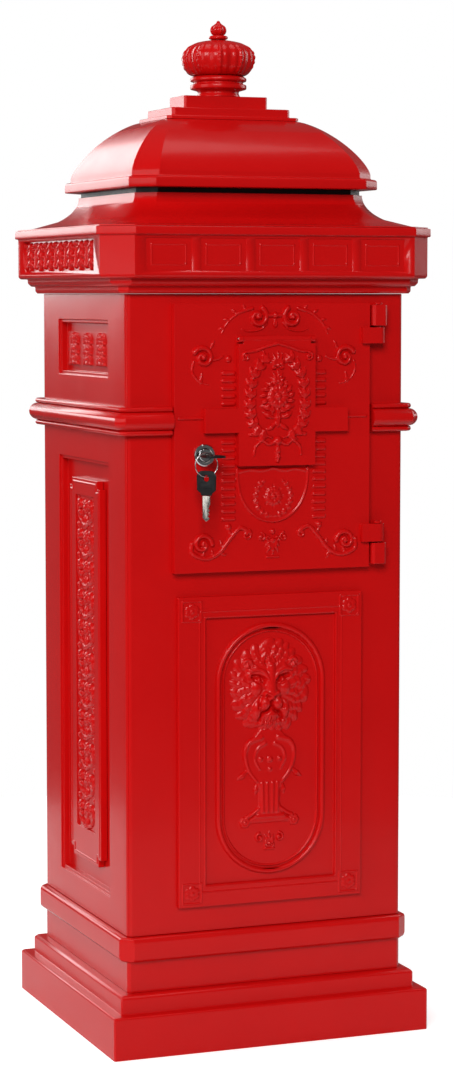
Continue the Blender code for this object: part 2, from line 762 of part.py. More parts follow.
def make_mid_belt():
    """The belt that wraps the body and stops either side of the door."""
    mid = MID_BELT_LOW + MID_BELT_HEIGHT / 2
    high = MID_BELT_LOW + MID_BELT_HEIGHT
    bead = BELT_BEAD_HEIGHT
    radius = (MID_BELT_HEIGHT - 2 * bead) / 2
    depth = MID_BELT_PROUD - 0.0045
    sections = [
        course(GAP, MID_BELT_LOW, EDGE_BREAK),
        course(BELT_BEAD_PROUD - 0.002, MID_BELT_LOW),
        course(BELT_BEAD_PROUD, MID_BELT_LOW + 0.002),
        course(BELT_BEAD_PROUD - 0.001, MID_BELT_LOW + bead),
    ]
    for degrees in (-60, -30, 0, 30, 60):
        angle = math.radians(degrees)
        proud = 0.0045 + depth * math.cos(angle)
        sections.append(course(proud, mid + radius * math.sin(angle)))
    sections += [
        course(BELT_BEAD_PROUD - 0.001, high - bead),
        course(BELT_BEAD_PROUD, high - 0.002),
        course(BELT_BEAD_PROUD - 0.002, high),
        course(GAP, high, EDGE_BREAK),
    ]
    belt = moulded(sections, ring=True)
    right_end = HINGE_X - HINGE_OFFSET_X + 0.0035
    gap = block(
        (DOOR_LEFT - 0.0015, FACE_Y - 0.05, MID_BELT_LOW - 0.01),
        (right_end, FACE_Y + 0.02, high + 0.01),
    )
    cut(belt, gap)
    finish(belt, "red_enamel", "mid_belt")


# ---------------------------------------------------------------- cornice and roof


def make_cornice():
    shell = FRIEZE_PROUD - WALL
    sections = [
        course(LOWER_STEP_PROUD - 0.002, Z_CORNICE),
        course(LOWER_STEP_PROUD, Z_CORNICE + 0.002),
        course(LOWER_STEP_PROUD, Z_UPPER_STEP),
        course(UPPER_STEP_PROUD - 0.003, Z_UPPER_STEP),
        course(UPPER_STEP_PROUD, Z_UPPER_STEP + 0.003),
        course(UPPER_STEP_PROUD, Z_FRIEZE),
        course(FRIEZE_PROUD - 0.002, Z_FRIEZE),
        course(FRIEZE_PROUD, Z_FRIEZE + 0.002),
        course(FRIEZE_PROUD, Z_LEDGE),
        course(LEDGE_PROUD, Z_LEDGE),
        course(LEDGE_PROUD, Z_COVE - 0.001),
        course(LEDGE_PROUD - 0.001, Z_COVE),
        course(shell, Z_COVE, 0.018),
        course(shell, Z_FRIEZE + WALL, 0.018),
        course(-WALL, Z_FRIEZE + WALL, EDGE_BREAK),
        course(-WALL, Z_CORNICE, EDGE_BREAK),
    ]
    finish(moulded(sections, ring=True), "red_enamel", "cornice")


def between(first, second, share):
    return tuple(a + (b - a) * share for a, b in zip(first, second))


def cove_section(share, inset=0.0):
    """A section of the cove: share 0 at its foot on the ledge, 1 at the neck."""
    foot = (HALF_W + COVE_FOOT_PROUD - inset, HALF_D + COVE_FOOT_PROUD - inset, COVE_FOOT_PROUD)
    neck = (NECK_HALF[0] - inset, NECK_HALF[1] - inset, NECK_CUT)
    swept = math.sqrt(1 - (1 - share) ** 2)
    half_x, half_y, corner = between(foot, neck, swept)
    return (half_x, half_y, corner, Z_COVE + GAP + (COVE_HEIGHT - GAP) * share)


def make_cove():
    shares = (0, 0.02, 0.08, 0.2, 0.4, 0.65, 1)
    outer = [cove_section(share) for share in shares]
    lip = NECK_HALF[0] - SEAT_INSET - SEAT_WIDTH, NECK_HALF[1] - SEAT_INSET - SEAT_WIDTH
    under = Z_SEAT - FLANGE_THICKNESS
    inner = [
        (*lip, NECK_CUT, Z_SEAT),
        (*lip, NECK_CUT, under),
        (NECK_HALF[0] - 0.005, NECK_HALF[1] - 0.005, NECK_CUT, under),
    ]
    drop = 0.006
    inner += [
        (*cove_section(share, drop)[:3], cove_section(share)[3]) for share in (0.4, 0.2, 0.08, 0)
    ]
    cove = moulded(outer + inner, ring=True)
    for x, y in bolt_places(*ROOF_BOLT_PLACE).values():
        cut(cove, rod(BOLT_RADIUS + BOLT_CLEARANCE, (x, y, under - 0.002), 0.008, "Z", 16))
    finish(cove, "red_enamel", "roof_cove")


def make_lid_seat():
    low, high = Z_SEAT + GAP, Z_RIM - GAP
    outer = cut_corner_plan(NECK_HALF[0] - SEAT_INSET, NECK_HALF[1] - SEAT_INSET, NECK_CUT)
    inset = SEAT_INSET + SEAT_WIDTH
    inner = cut_corner_plan(NECK_HALF[0] - inset, NECK_HALF[1] - inset, NECK_CUT)
    radius = BOLT_RADIUS + BOLT_CLEARANCE
    holes = [circle(place, radius, 16) for place in bolt_places(*ROOF_BOLT_PLACE).values()]
    seat = extruded([outer, inner, *holes], low, high)
    finish(seat, "red_enamel", "lid_seat")


def dome_section(rise, wall=0.0):
    """A section of the dome: rise 0 at its foot, 1 at its crown."""
    reach = (1 - rise**DOME_FULLNESS) ** (1 / DOME_FULLNESS)
    foot = (LID_HALF[0] - RIM_INSET - wall, LID_HALF[1] - RIM_INSET - wall, LID_CUT)
    top = (LID_TOP_HALF[0] - wall, LID_TOP_HALF[1] - wall, LID_TOP_CUT)
    half_x, half_y, corner = between(top, foot, reach)
    return (half_x, half_y, corner, Z_DOME + (DOME_HEIGHT - wall) * rise)


def make_lid():
    rises = (0, 0.1, 0.22, 0.36, 0.5, 0.64, 0.76, 0.86, 0.94, 0.985, 1)
    rim_inner = (LID_HALF[0] - LID_FLANGE, LID_HALF[1] - LID_FLANGE, LID_CUT)
    wall_inner = (
        LID_HALF[0] - RIM_INSET - LID_WALL,
        LID_HALF[1] - RIM_INSET - LID_WALL,
        LID_CUT,
    )
    flange_top = Z_RIM + FLANGE_THICKNESS
    sections = [dome_section(rise, LID_WALL) for rise in rises[::-1]]
    sections += [
        (*wall_inner, flange_top),
        (*rim_inner, flange_top),
        (*rim_inner, Z_RIM),
        (*LID_HALF, LID_CUT, Z_RIM),
        (*LID_HALF, LID_CUT, Z_RIM_STEP - 0.002),
        (LID_HALF[0] - 0.002, LID_HALF[1] - 0.002, LID_CUT, Z_RIM_STEP),
        (LID_HALF[0] - RIM_INSET, LID_HALF[1] - RIM_INSET, LID_CUT, Z_RIM_STEP),
    ]
    sections += [dome_section(rise) for rise in rises]
    lid = moulded(sections, ring=False)
    for x, y in bolt_places(*ROOF_BOLT_PLACE).values():
        cut(lid, rod(BOLT_RADIUS + BOLT_CLEARANCE, (x, y, Z_RIM - 0.002), 0.008, "Z", 16))
    cut(lid, rod(STUD_RADIUS + BOLT_CLEARANCE, (0, 0, Z_ROOF_SLAB - 0.01), 0.02, "Z", 16))
    finish(lid, "red_enamel", "roof_dome")


def make_roof_bolts():
    head_low = Z_SEAT - FLANGE_THICKNESS - GAP - BOLT_HEAD_HEIGHT
    shank_high = Z_RIM + FLANGE_THICKNESS + 0.004
    for place, (x, y) in bolt_places(*ROOF_BOLT_PLACE).items():
        hex_bolt(x, y, head_low, shank_high, f"roof_bolt_{place}")


def make_roof_plinth():
    low = Z_ROOF_SLAB + GAP
    edge = 0.0015
    sections = [
        (*LID_TOP_HALF, 0.004, low),
        (*LID_TOP_HALF, 0.004, Z_ROOF_BLOCK),
        (*ROOF_BLOCK_HALF, 0.003, Z_ROOF_BLOCK),
        (*ROOF_BLOCK_HALF, 0.003, Z_ROOF_TOP - edge),
        (ROOF_BLOCK_HALF[0] - edge, ROOF_BLOCK_HALF[1] - edge, 0.003, Z_ROOF_TOP),
        (*ROOF_TOP_HALF, 0.002, Z_ROOF_TOP),
        (*ROOF_TOP_HALF, 0.002, Z_PEDESTAL),
    ]
    plinth = moulded(sections, ring=False)
    cut(plinth, rod(STUD_RADIUS + BOLT_CLEARANCE, (0, 0, low - 0.01), 0.06, "Z", 16))
    finish(plinth, "red_enamel", "roof_plinth")


def make_crown():
    bore = STUD_RADIUS + BOLT_CLEARANCE
    ring, waist = CROWN_RING_RADIUS, CROWN_WAIST_RADIUS
    low = Z_PEDESTAL + GAP
    profile = [
        (bore, Z_CROWN),
        (ring - 0.003, Z_CROWN),
        (ring, Z_CROWN - 0.0025),
        (ring, Z_CROWN - 0.0055),
        (ring - 0.0035, Z_CROWN - 0.0065),
        (ring - 0.0035, Z_CROWN - 0.0080),
        (ring, Z_CROWN - 0.0090),
        (ring, Z_CROWN - 0.0130),
        (waist + 0.002, Z_CROWN - 0.0150),
        (waist, low + 0.003),
        (waist + 0.002, low),
        (bore, low),
    ]
    finish(turned(profile, bored=True), "red_enamel", "crown_pedestal")

    low, high = Z_CROWN + GAP, Z_BUD
    widest = low + 0.5 * CROWN_HEIGHT
    cushion = [(bore, high)]
    for degrees in (80, 65, 50, 35, 18, 0):
        angle = math.radians(degrees)
        cushion.append(
            (CROWN_RADIUS * math.cos(angle) ** 0.8, widest + (high - widest) * math.sin(angle))
        )
    foot = CROWN_RING_RADIUS - 0.002
    for degrees in (25, 50, 75, 90):
        angle = math.radians(degrees)
        radius = foot + (CROWN_RADIUS - foot) * math.cos(angle)
        cushion.append((radius, widest - (widest - low) * math.sin(angle)))
    cushion.append((bore, low))
    finish(turned(cushion, bored=True), "red_enamel", "crown_cushion")

    low = Z_BUD + GAP
    collar, bud = BUD_COLLAR_RADIUS, BUD_RADIUS
    profile = [(0, Z_TOP), (0.0018, Z_TOP - 0.0012), (0.0042, Z_TOP - 0.0045)]
    profile += [
        (bud, Z_TOP - 0.0090),
        (bud, Z_TOP - 0.0120),
        (0.0055, Z_TOP - 0.0150),
        (collar, low + 0.0035),
        (collar, low + 0.0010),
        (collar - 0.001, low),
        (bore, low),
        (bore, low + STUD_BITE + GAP),
        (0, low + STUD_BITE + GAP),
    ]
    finish(turned(profile), "red_enamel", "crown_bud")

    stud_low = Z_ROOF_SLAB - LID_WALL - STUD_TAIL
    stud = rod(STUD_RADIUS, (0, 0, stud_low), Z_BUD + STUD_BITE - stud_low, "Z", 16)
    finish(stud, "zinc_steel", "crown_stud")
    nut_high = Z_ROOF_SLAB - LID_WALL - GAP
    nut = rod(CROWN_NUT_RADIUS, (0, 0, nut_high - CROWN_NUT_HEIGHT), CROWN_NUT_HEIGHT, "Z", 6)
    cut(nut, rod(bore, (0, 0, nut_high - 0.01), 0.02, "Z", 16))
    finish(nut, "zinc_steel", "crown_nut")


# ---------------------------------------------------------------- door


def make_lugs():
    """The two hinge lugs on the body, their pins and the screws that hold them."""
    spans = {"upper": (UPPER_LUG, UPPER_TAB), "lower": (LOWER_LUG, LOWER_TAB)}
    front = HINGE_Y - KNUCKLE_RADIUS
    edge = 0.0025
    left, right = HINGE_X - LUG_HALF_WIDTH, HINGE_X + LUG_HALF_WIDTH
    back = FACE_Y - GAP
    outline = [
        (left, back),
        (left, front + edge),
        (left + edge, front),
        (right - edge, front),
        (right, front + edge),
        (right, back),
    ]
    for name, (lug, tab) in spans.items():
        body = extruded([outline], lug[0], lug[1])
        bore = rod(
            HINGE_PIN_RADIUS + BOLT_CLEARANCE, (HINGE_X, HINGE_Y, lug[0] - 0.005), 0.035, "Z", 16
        )
        cut(body, bore)
        middle = (lug[0] + lug[1]) / 2
        hole_start = (HINGE_X, HINGE_Y + HINGE_PIN_RADIUS + 0.0018, middle)
        cut(body, rod(LUG_SCREW_RADIUS + BOLT_CLEARANCE, hole_start, 0.01, "Y", 12))
        finish(body, "red_enamel", f"{name}_hinge_lug")
        low, high = min(lug[0], tab[0]), max(lug[1], tab[1])
        shank = rod(HINGE_PIN_RADIUS, (HINGE_X, HINGE_Y, low), high - low + 0.001, "Z", 16)
        head = rod(PIN_HEAD_RADIUS, (HINGE_X, HINGE_Y, high + GAP), PIN_HEAD_HEIGHT, "Z", 16)
        join(shank, head)
        finish(shank, "zinc_steel", f"{name}_hinge_pin")
        screw_start = (HINGE_X, hole_start[1] + GAP, middle)
        screw_end = FACE_Y + WALL + GAP
        screw = rod(LUG_SCREW_RADIUS, screw_start, screw_end - screw_start[1] + 0.001, "Y", 12)
        join(screw, rod(LUG_SCREW_HEAD_RADIUS, (HINGE_X, screw_end, middle), 0.003, "Y", 12))
        finish(screw, "zinc_steel", f"{name}_lug_screw")


def make_door():
    low_z, high_z = DOOR_LOW, DOOR_HIGH
    slot_half = SLOT_WIDTH / 2
    slot = rectangle(FLAP_CENTRE_X - slot_half, SLOT_LOW, FLAP_CENTRE_X + slot_half, SLOT_HIGH)
    lock_hole = circle((LOCK_X, LOCK_Z), LOCK_BODY_RADIUS + BOLT_CLEARANCE)
    outline = rectangle(DOOR_LEFT, low_z, DOOR_RIGHT, high_z)
    door = extruded([outline, slot, lock_hole], DOOR_FRONT, DOOR_BACK, "XZ")
    pocket = block(
        (DOOR_LEFT + DOOR_RIM, DOOR_FRONT + DOOR_SKIN, low_z + DOOR_RIM),
        (DOOR_RIGHT - DOOR_RIM, DOOR_BACK + 0.01, high_z - DOOR_RIM),
    )
    cut(door, pocket)
    for tab_low, tab_high in (UPPER_TAB, LOWER_TAB):
        left = DOOR_RIGHT - TAB_LENGTH
        knuckle = arc((HINGE_X, HINGE_Y), KNUCKLE_RADIUS, -90, 110, 12)
        plan = [(left, HINGE_Y - KNUCKLE_RADIUS), *knuckle]
        plan += [(DOOR_RIGHT - 0.001, DOOR_BACK - 0.0025), (left, DOOR_BACK - 0.0065)]
        hole = circle((HINGE_X, HINGE_Y), HINGE_PIN_RADIUS + BOLT_CLEARANCE, 16)
        join(door, extruded([plan, hole], tab_low, tab_high))
    ear_start = FLAP_CENTRE_X - FLAP_PLATE_HALF
    ear_end = FLAP_CENTRE_X + FLAP_PLATE_HALF
    for x_low in (ear_start, ear_end - FLAP_EAR_WIDTH):
        x_high = x_low + FLAP_EAR_WIDTH
        ear = arc((FLAP_PIN_Y, FLAP_PIN_Z), FLAP_KNUCKLE_RADIUS, 90, 270, 8)
        plan = [(DOOR_FRONT + 0.001, FLAP_PIN_Z + FLAP_KNUCKLE_RADIUS), *ear]
        plan.append((DOOR_FRONT + 0.001, FLAP_PIN_Z - FLAP_KNUCKLE_RADIUS))
        hole = circle((FLAP_PIN_Y, FLAP_PIN_Z), FLAP_PIN_RADIUS + GAP, 12)
        join(door, extruded([plan, hole], x_low, x_high, "YZ"))
    return finish(door, "red_enamel", "door_plate")


def flap_outline(inset=0.0):
    """The cross-shaped flap, with a low pediment along its top edge."""
    plate, arm = FLAP_PLATE_HALF - inset, FLAP_ARM_HALF - inset
    shoulder = FLAP_PLATE_HALF - FLAP_EAR_WIDTH - GAP
    shoulder_z = FLAP_PIN_Z - FLAP_KNUCKLE_RADIUS - 0.0012
    right = [
        (plate, FLAP_LOW + inset),
        (plate, FLAP_ARM_LOW + inset),
        (arm, FLAP_ARM_LOW + inset),
        (arm, FLAP_ARM_HIGH - inset),
        (plate, FLAP_ARM_HIGH - inset),
        (plate, shoulder_z - inset),
    ]
    if inset == 0:
        right += [(shoulder, shoulder_z), (shoulder, FLAP_HIGH - 0.0015), (0, FLAP_HIGH)]
        left = right[:-1]
    else:
        left = right
    return [(FLAP_CENTRE_X + x, z) for x, z in right + [(-x, z) for x, z in left[::-1]]]


def make_flap():
    skin_back = FLAP_FRONT + FLAP_SKIN
    flap = extruded([flap_outline()], FLAP_FRONT, FLAP_BACK, "XZ")
    cut(flap, extruded([flap_outline(FLAP_RIM)], skin_back, FLAP_BACK + 0.004, "XZ"))
    top_low = FLAP_PIN_Z - FLAP_KNUCKLE_RADIUS - 0.0012 - FLAP_RIM
    relief = block(
        (FLAP_CENTRE_X - 0.05, skin_back, top_low),
        (FLAP_CENTRE_X + 0.05, FLAP_BACK + 0.004, FLAP_HIGH + 0.01),
    )
    cut(flap, relief)
    half = FLAP_PLATE_HALF - FLAP_EAR_WIDTH - GAP
    start = (FLAP_CENTRE_X - half, FLAP_PIN_Y, FLAP_PIN_Z)
    join(flap, rod(FLAP_KNUCKLE_RADIUS, start, 2 * half, "X", 16))
    bore_start = (start[0] - 0.005, FLAP_PIN_Y, FLAP_PIN_Z)
    cut(flap, rod(FLAP_PIN_RADIUS + GAP, bore_start, 2 * half + 0.01, "X", 12))
    finish(flap, "red_enamel", "slot_flap")
    pin_start = (FLAP_CENTRE_X - FLAP_PLATE_HALF - 0.0006, FLAP_PIN_Y, FLAP_PIN_Z)
    pin = rod(FLAP_PIN_RADIUS, pin_start, 2 * FLAP_PLATE_HALF + 0.0012, "X", 12)
    finish(pin, "zinc_steel", "flap_pin")
    return flap, pin


def make_baffle():
    """A bent sheet behind the slot that turns letters downwards and keeps hands out."""
    t = BAFFLE_THICKNESS
    back = DOOR_FRONT + DOOR_SKIN + GAP
    top = SLOT_HIGH + 0.014
    bend = SLOT_HIGH + 0.004
    end_y, end_z = back + BAFFLE_REACH, bend - BAFFLE_DROP
    profile = [
        (back, top),
        (back, bend),
        (back + 0.006, bend),
        (end_y - t, end_z),
        (end_y, end_z),
        (back + 0.006 + t, bend + t),
        (back + t, bend + t),
        (back + t, top),
    ]
    low, high = FLAP_CENTRE_X - BAFFLE_HALF_WIDTH, FLAP_CENTRE_X + BAFFLE_HALF_WIDTH
    return finish(extruded([profile], low, high, "YZ"), "zinc_steel", "slot_baffle")


# ---------------------------------------------------------------- lock and keys


def make_lock():
    face = rod(LOCK_FACE_RADIUS, (LOCK_X, LOCK_FACE_Y, LOCK_Z), LOCK_FACE_PROUD - GAP, "Y", 32)
    body_length = LOCK_BODY_LENGTH - 0.001
    body = rod(LOCK_BODY_RADIUS, (LOCK_X, LOCK_FACE_Y + 0.001, LOCK_Z), body_length, "Y")
    join(face, body)
    bore = rod(
        PLUG_RADIUS + PLUG_CLEARANCE,
        (LOCK_X, LOCK_FACE_Y - 0.005, LOCK_Z),
        LOCK_BODY_LENGTH + 0.01,
        "Y",
    )
    cut(face, bore)
    finish(face, "chrome", "lock_housing")

    nut_start = DOOR_FRONT + DOOR_SKIN + GAP
    nut = rod(LOCK_NUT_RADIUS, (LOCK_X, nut_start, LOCK_Z), LOCK_NUT_THICKNESS, "Y", 6)
    cut(nut, rod(LOCK_BODY_RADIUS + GAP, (LOCK_X, nut_start - 0.005, LOCK_Z), 0.02, "Y"))
    finish(nut, "zinc_steel", "lock_nut")

    plug_front = LOCK_FACE_Y - 0.0004
    plug_end = LOCK_BACK_Y + 0.0006
    plug = rod(PLUG_RADIUS, (LOCK_X, plug_front, LOCK_Z), plug_end - plug_front, "Y")
    keyway = block(
        (LOCK_X - KEYWAY[0] / 2, plug_front - 0.002, LOCK_Z - KEYWAY[1] / 2),
        (LOCK_X + KEYWAY[0] / 2, plug_front + KEYWAY_DEPTH, LOCK_Z + KEYWAY[1] / 2),
    )
    cut(plug, keyway)
    finish(plug, "chrome", "lock_plug")
    return plug_end


def make_cam(plug_end):
    """The flat bolt that turns behind the front wall, and stands up when the lock is open."""
    low, high = plug_end + GAP, plug_end + GAP + CAM_THICKNESS
    half = CAM_WIDTH / 2
    tip = LOCK_Z + CAM_LENGTH
    outline = [(LOCK_X + half, LOCK_Z), (LOCK_X + half, tip - 0.003), (LOCK_X + half - 0.003, tip)]
    outline += [(LOCK_X - half + 0.003, tip), (LOCK_X - half, tip - 0.003)]
    outline += arc((LOCK_X, LOCK_Z), half, 180, 360, 12)[:-1]
    hole = circle((LOCK_X, LOCK_Z), CAM_SCREW_RADIUS + GAP, 12)
    cam = finish(extruded([outline, hole], low, high, "XZ"), "zinc_steel", "lock_cam")
    shank_start = plug_end + GAP
    screw = rod(CAM_SCREW_RADIUS, (LOCK_X, shank_start, LOCK_Z), CAM_THICKNESS + 0.001, "Y", 12)
    join(screw, rod(0.0036, (LOCK_X, high + GAP, LOCK_Z), 0.0022, "Y", 12))
    finish(screw, "zinc_steel", "cam_screw")
    return cam, screw


def key_head_plan(width, length, hole_inset):
    """A key's plastic head seen flat: its neck at y 0, its far end at y -length."""
    half, corner = width / 2, 0.005
    right = [(half * 0.55, 0), (half, -0.004)]
    right += arc((half - corner, -length + corner), corner, 0, -90, 6)
    outline = right + [(-x, y) for x, y in right[::-1]]
    return [outline, circle((0, -length + hole_inset), KEY_HOLE_RADIUS, 20)]


def key_pieces(head_name, blade_name):
    """A key lying flat about the local origin, its blade towards +Y and its head towards -Y."""
    outlines = key_head_plan(KEY_HEAD_WIDTH, KEY_HEAD_LENGTH, KEY_HOLE_INSET)
    head = extruded(outlines, -KEY_HEAD_THICKNESS / 2, KEY_HEAD_THICKNESS / 2)
    half_w, half_t = KEY_BLADE[0] / 2, KEY_BLADE[1] / 2
    tip = 0.003
    plan = [
        (-half_w, GAP),
        (half_w, GAP),
        (half_w, KEY_BLADE_LENGTH - tip),
        (half_w - tip, KEY_BLADE_LENGTH),
        (-half_w + tip, KEY_BLADE_LENGTH),
        (-half_w, KEY_BLADE_LENGTH - tip),
    ]
    blade = extruded([plan], -half_t, half_t)
    finish(head, "black_plastic", head_name)
    finish(blade, "nickel_silver", blade_name)
    return head, blade


def place_pieces(pieces, matrix):
    bpy.context.view_layer.update()
    for piece in pieces:
        piece.matrix_world = matrix @ piece.matrix_world


def make_keys():
    inserted = key_pieces("key_head", "key_blade")
    place_pieces(inserted, Matrix.Translation((LOCK_X, KEY_HEAD_BACK_Y, LOCK_Z)))

    ring_x, ring_z = LOCK_X - RING_HALF_CHORD, LOCK_Z - RING_DROP
    curve = bpy.data.curves.new("key_ring", "CURVE")
    curve.dimensions = "3D"
    curve.bevel_depth = RING_WIRE
    curve.bevel_resolution = 2
    spline = curve.splines.new("POLY")
    points = circle((0, 0), RING_RADIUS, 32)
    spline.points.add(len(points) - 1)
    for point, (x, z) in zip(spline.points, points):
        point.co = (x, 0, z, 1)
    spline.use_cyclic_u = True
    ring = bpy.data.objects.new("key_ring", curve)
    ring.location = (ring_x, KEY_HOLE_Y, ring_z)
    finish(ring, "zinc_steel", "key_ring")

    spare = key_pieces("spare_key_head", "spare_key_blade")
    hole_y = -KEY_HEAD_LENGTH + KEY_HOLE_INSET
    hang_z = ring_z - RING_RADIUS
    drop = KEY_HOLE_RADIUS - RING_WIRE - SPARE_KEY_PLAY
    turn = Matrix.Rotation(math.radians(-SPARE_KEY_TURN_DEG), 4, "Z")
    upright = Matrix.Rotation(math.radians(-90), 4, "X")
    to_hole = Matrix.Translation((0, -hole_y, 0))
    place = Matrix.Translation((ring_x, KEY_HOLE_Y, hang_z - drop))
    place_pieces(spare, place @ turn @ upright @ to_hole)
    return inserted, ring, spare, (ring_x, KEY_HOLE_Y, hang_z)


# ---------------------------------------------------------------- inside


def make_shelf():
    """The tray that letters fall onto, resting on two rails."""
    half_x = HALF_W - SIDE_WALL - ANGLE_THICKNESS - SHELF_CLEARANCE
    half_y = HALF_D - WALL - ANGLE_THICKNESS - SHELF_CLEARANCE
    t = SHELF_THICKNESS
    cut_size = 0.010
    sections = [
        (half_x, half_y, cut_size, SHELF_Z),
        (half_x, half_y, cut_size, SHELF_Z + SHELF_LIP),
        (half_x - t, half_y - t, cut_size, SHELF_Z + SHELF_LIP),
        (half_x - t, half_y - t, cut_size, SHELF_Z + t),
    ]
    finish(moulded(sections, ring=False), "zinc_steel", "mail_shelf")
    rail_y = HALF_D - WALL - ANGLE_REACH - 0.006
    for side, name in ((-1, "left"), (1, "right")):
        wall = side * (HALF_W - SIDE_WALL - GAP)
        inner = wall - side * RAIL_LEG
        web = wall - side * RAIL_THICKNESS
        top = SHELF_Z - GAP
        profile = [
            (wall, top),
            (inner, top),
            (inner, top - RAIL_THICKNESS),
            (web, top - RAIL_THICKNESS),
            (web, top - RAIL_LEG),
            (wall, top - RAIL_LEG),
        ]
        finish(extruded([profile], -rail_y, rail_y, "XZ"), "zinc_steel", f"{name}_shelf_rail")


# ---------------------------------------------------------------- assembly


def build():
    make_base()
    make_lower_frame()
    make_base_bolts()
    make_walls()
    make_side_ornaments()
    make_corner_angles()
    make_front_ornament()
    make_mid_belt()
    make_cornice()
    make_cove()
    make_lid_seat()
    make_lid()
    make_roof_bolts()
    make_roof_plinth()
    make_crown()
    make_lugs()
    make_shelf()

    door_pivot = pivot("door_hinge_axis", (HINGE_X, HINGE_Y, (DOOR_LOW + DOOR_HIGH) / 2))
    flap_pivot = pivot("flap_hinge_axis", (FLAP_CENTRE_X, FLAP_PIN_Y, FLAP_PIN_Z))
    lock_pivot = pivot("lock_axis", (LOCK_X, LOCK_FACE_Y, LOCK_Z))
    key_pivot = pivot("key_axis", (LOCK_X, KEY_HOLE_Y, LOCK_Z))
    door = make_door()
    baffle = make_baffle()
    flap, flap_pin = make_flap()
    plug_end = make_lock()
    cam, cam_screw = make_cam(plug_end)
    key, ring, spare, ring_foot = make_keys()
    spare_pivot = pivot("spare_key_axis", ring_foot)
    housing = [bpy.data.objects[name] for name in ("lock_housing", "lock_nut")]
    hang(door_pivot, flap_pivot, lock_pivot, door, baffle, flap_pin, *housing)
    hang(flap_pivot, flap)
    hang(lock_pivot, key_pivot, bpy.data.objects["lock_plug"], cam, cam_screw)
    hang(key_pivot, spare_pivot, ring, *key)
    hang(spare_pivot, *spare)


build()
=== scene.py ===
import math

import bmesh
import bpy
import numpy as np
from bpy.props import FloatProperty, FloatVectorProperty, IntProperty, PointerProperty
from mathutils import Matrix, Vector


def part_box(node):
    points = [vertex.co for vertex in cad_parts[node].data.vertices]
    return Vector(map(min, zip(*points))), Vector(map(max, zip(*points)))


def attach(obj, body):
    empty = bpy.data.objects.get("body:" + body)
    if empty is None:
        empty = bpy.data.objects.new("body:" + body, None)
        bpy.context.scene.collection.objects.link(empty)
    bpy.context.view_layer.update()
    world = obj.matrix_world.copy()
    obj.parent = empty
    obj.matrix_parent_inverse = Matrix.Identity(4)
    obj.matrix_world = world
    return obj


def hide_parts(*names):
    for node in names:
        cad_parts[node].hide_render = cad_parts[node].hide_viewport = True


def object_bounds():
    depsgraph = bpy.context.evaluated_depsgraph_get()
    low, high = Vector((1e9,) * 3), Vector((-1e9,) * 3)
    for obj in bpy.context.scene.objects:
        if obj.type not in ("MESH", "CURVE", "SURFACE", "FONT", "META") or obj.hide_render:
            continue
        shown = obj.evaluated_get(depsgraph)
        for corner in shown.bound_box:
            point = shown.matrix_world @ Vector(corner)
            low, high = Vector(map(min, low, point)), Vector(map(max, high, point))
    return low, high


bl_info = {
    "name": "Pillar Letter Box",
    "version": (1, 0, 0),
    "blender": (4, 5, 0),
    "location": "View3D > Sidebar > Letter Box",
    "description": "Builds the finished look of a cast pillar letter box around its packed parts",
    "category": "Add Mesh",
}

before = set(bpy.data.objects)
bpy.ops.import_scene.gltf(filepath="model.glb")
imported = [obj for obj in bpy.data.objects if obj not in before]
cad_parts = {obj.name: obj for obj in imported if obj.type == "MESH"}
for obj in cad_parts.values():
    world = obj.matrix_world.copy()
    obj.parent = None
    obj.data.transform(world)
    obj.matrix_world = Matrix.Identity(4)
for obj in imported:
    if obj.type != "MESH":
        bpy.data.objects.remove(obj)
CAD_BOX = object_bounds()


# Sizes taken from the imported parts.
def low_of(node):
    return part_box(node)[0]


def high_of(node):
    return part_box(node)[1]


BODY_X = high_of("right_side_panel").x
BODY_Y = high_of("back_panel").y
WALL_LOW = low_of("front_panel").z
WALL_HIGH = high_of("front_panel").z
DOOR_LOW, DOOR_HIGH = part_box("door_plate")
FLAP_LOW, FLAP_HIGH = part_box("slot_flap")
FLAP_X = (FLAP_LOW.x + FLAP_HIGH.x) / 2
LOCK_LOW, LOCK_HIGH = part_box("lock_housing")
LOCK_X, LOCK_Z = (LOCK_LOW.x + LOCK_HIGH.x) / 2, (LOCK_LOW.z + LOCK_HIGH.z) / 2
PANEL_LOW, PANEL_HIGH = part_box("front_ornament_panel")
PANEL_X = (PANEL_LOW.x + PANEL_HIGH.x) / 2
DOOR_FACE = -BODY_Y - 0.0090
DOOR_X = 0.0030
FLAP_FACE = FLAP_LOW.y

# Sizes of the walls behind those parts, in metres.
FRONT_WALL, SIDE_WALL = 0.0070, 0.0110
MITRE = 0.0071
OPENING_HALF = 0.0915
OPENING_LOW, OPENING_HIGH = 0.487, 0.726
RECESSES = ((0.6650, 0.7212), (0.1460, 0.5810))
RECESS_HALF, RECESS_DEPTH = 0.0790, 0.0085
RECESS_LIP, RECESS_SPLAY = 0.0024, 0.0034
MIN_CORNER = 0.0015

# Sizes of the roof's courses: half width, half depth and corner cut.
NECK = (0.1215, 0.1050, 0.017)
SEAT_REACH = 0.0315
LID_CUT = 0.021
LID_WALL = 0.004
LID_FULLNESS = 1.4
LID_TOP = (0.0710, 0.0455, 0.007)
LID_FLANGE = 0.046

# Sizes of the ornament.
STRIP_LOW, STRIP_HIGH, STRIP_HALF = 0.2010, 0.5430, 0.0290
STRIP_DEPTH = 0.0022
STRIP_REPEATS = 11
FIELD_NOTCH = 0.0080
OVAL_HALF, OVAL_MARGIN = 0.0580, 0.0285
OVAL_DEPTH = 0.0030
LION_HEIGHT, LION_SIZE = 0.3590, 0.0400
KEY_HOLE_INSET = 0.0075
KEY_HALF, KEY_THICKNESS = 0.0105, 0.0022
RING_WIRE = 0.0007


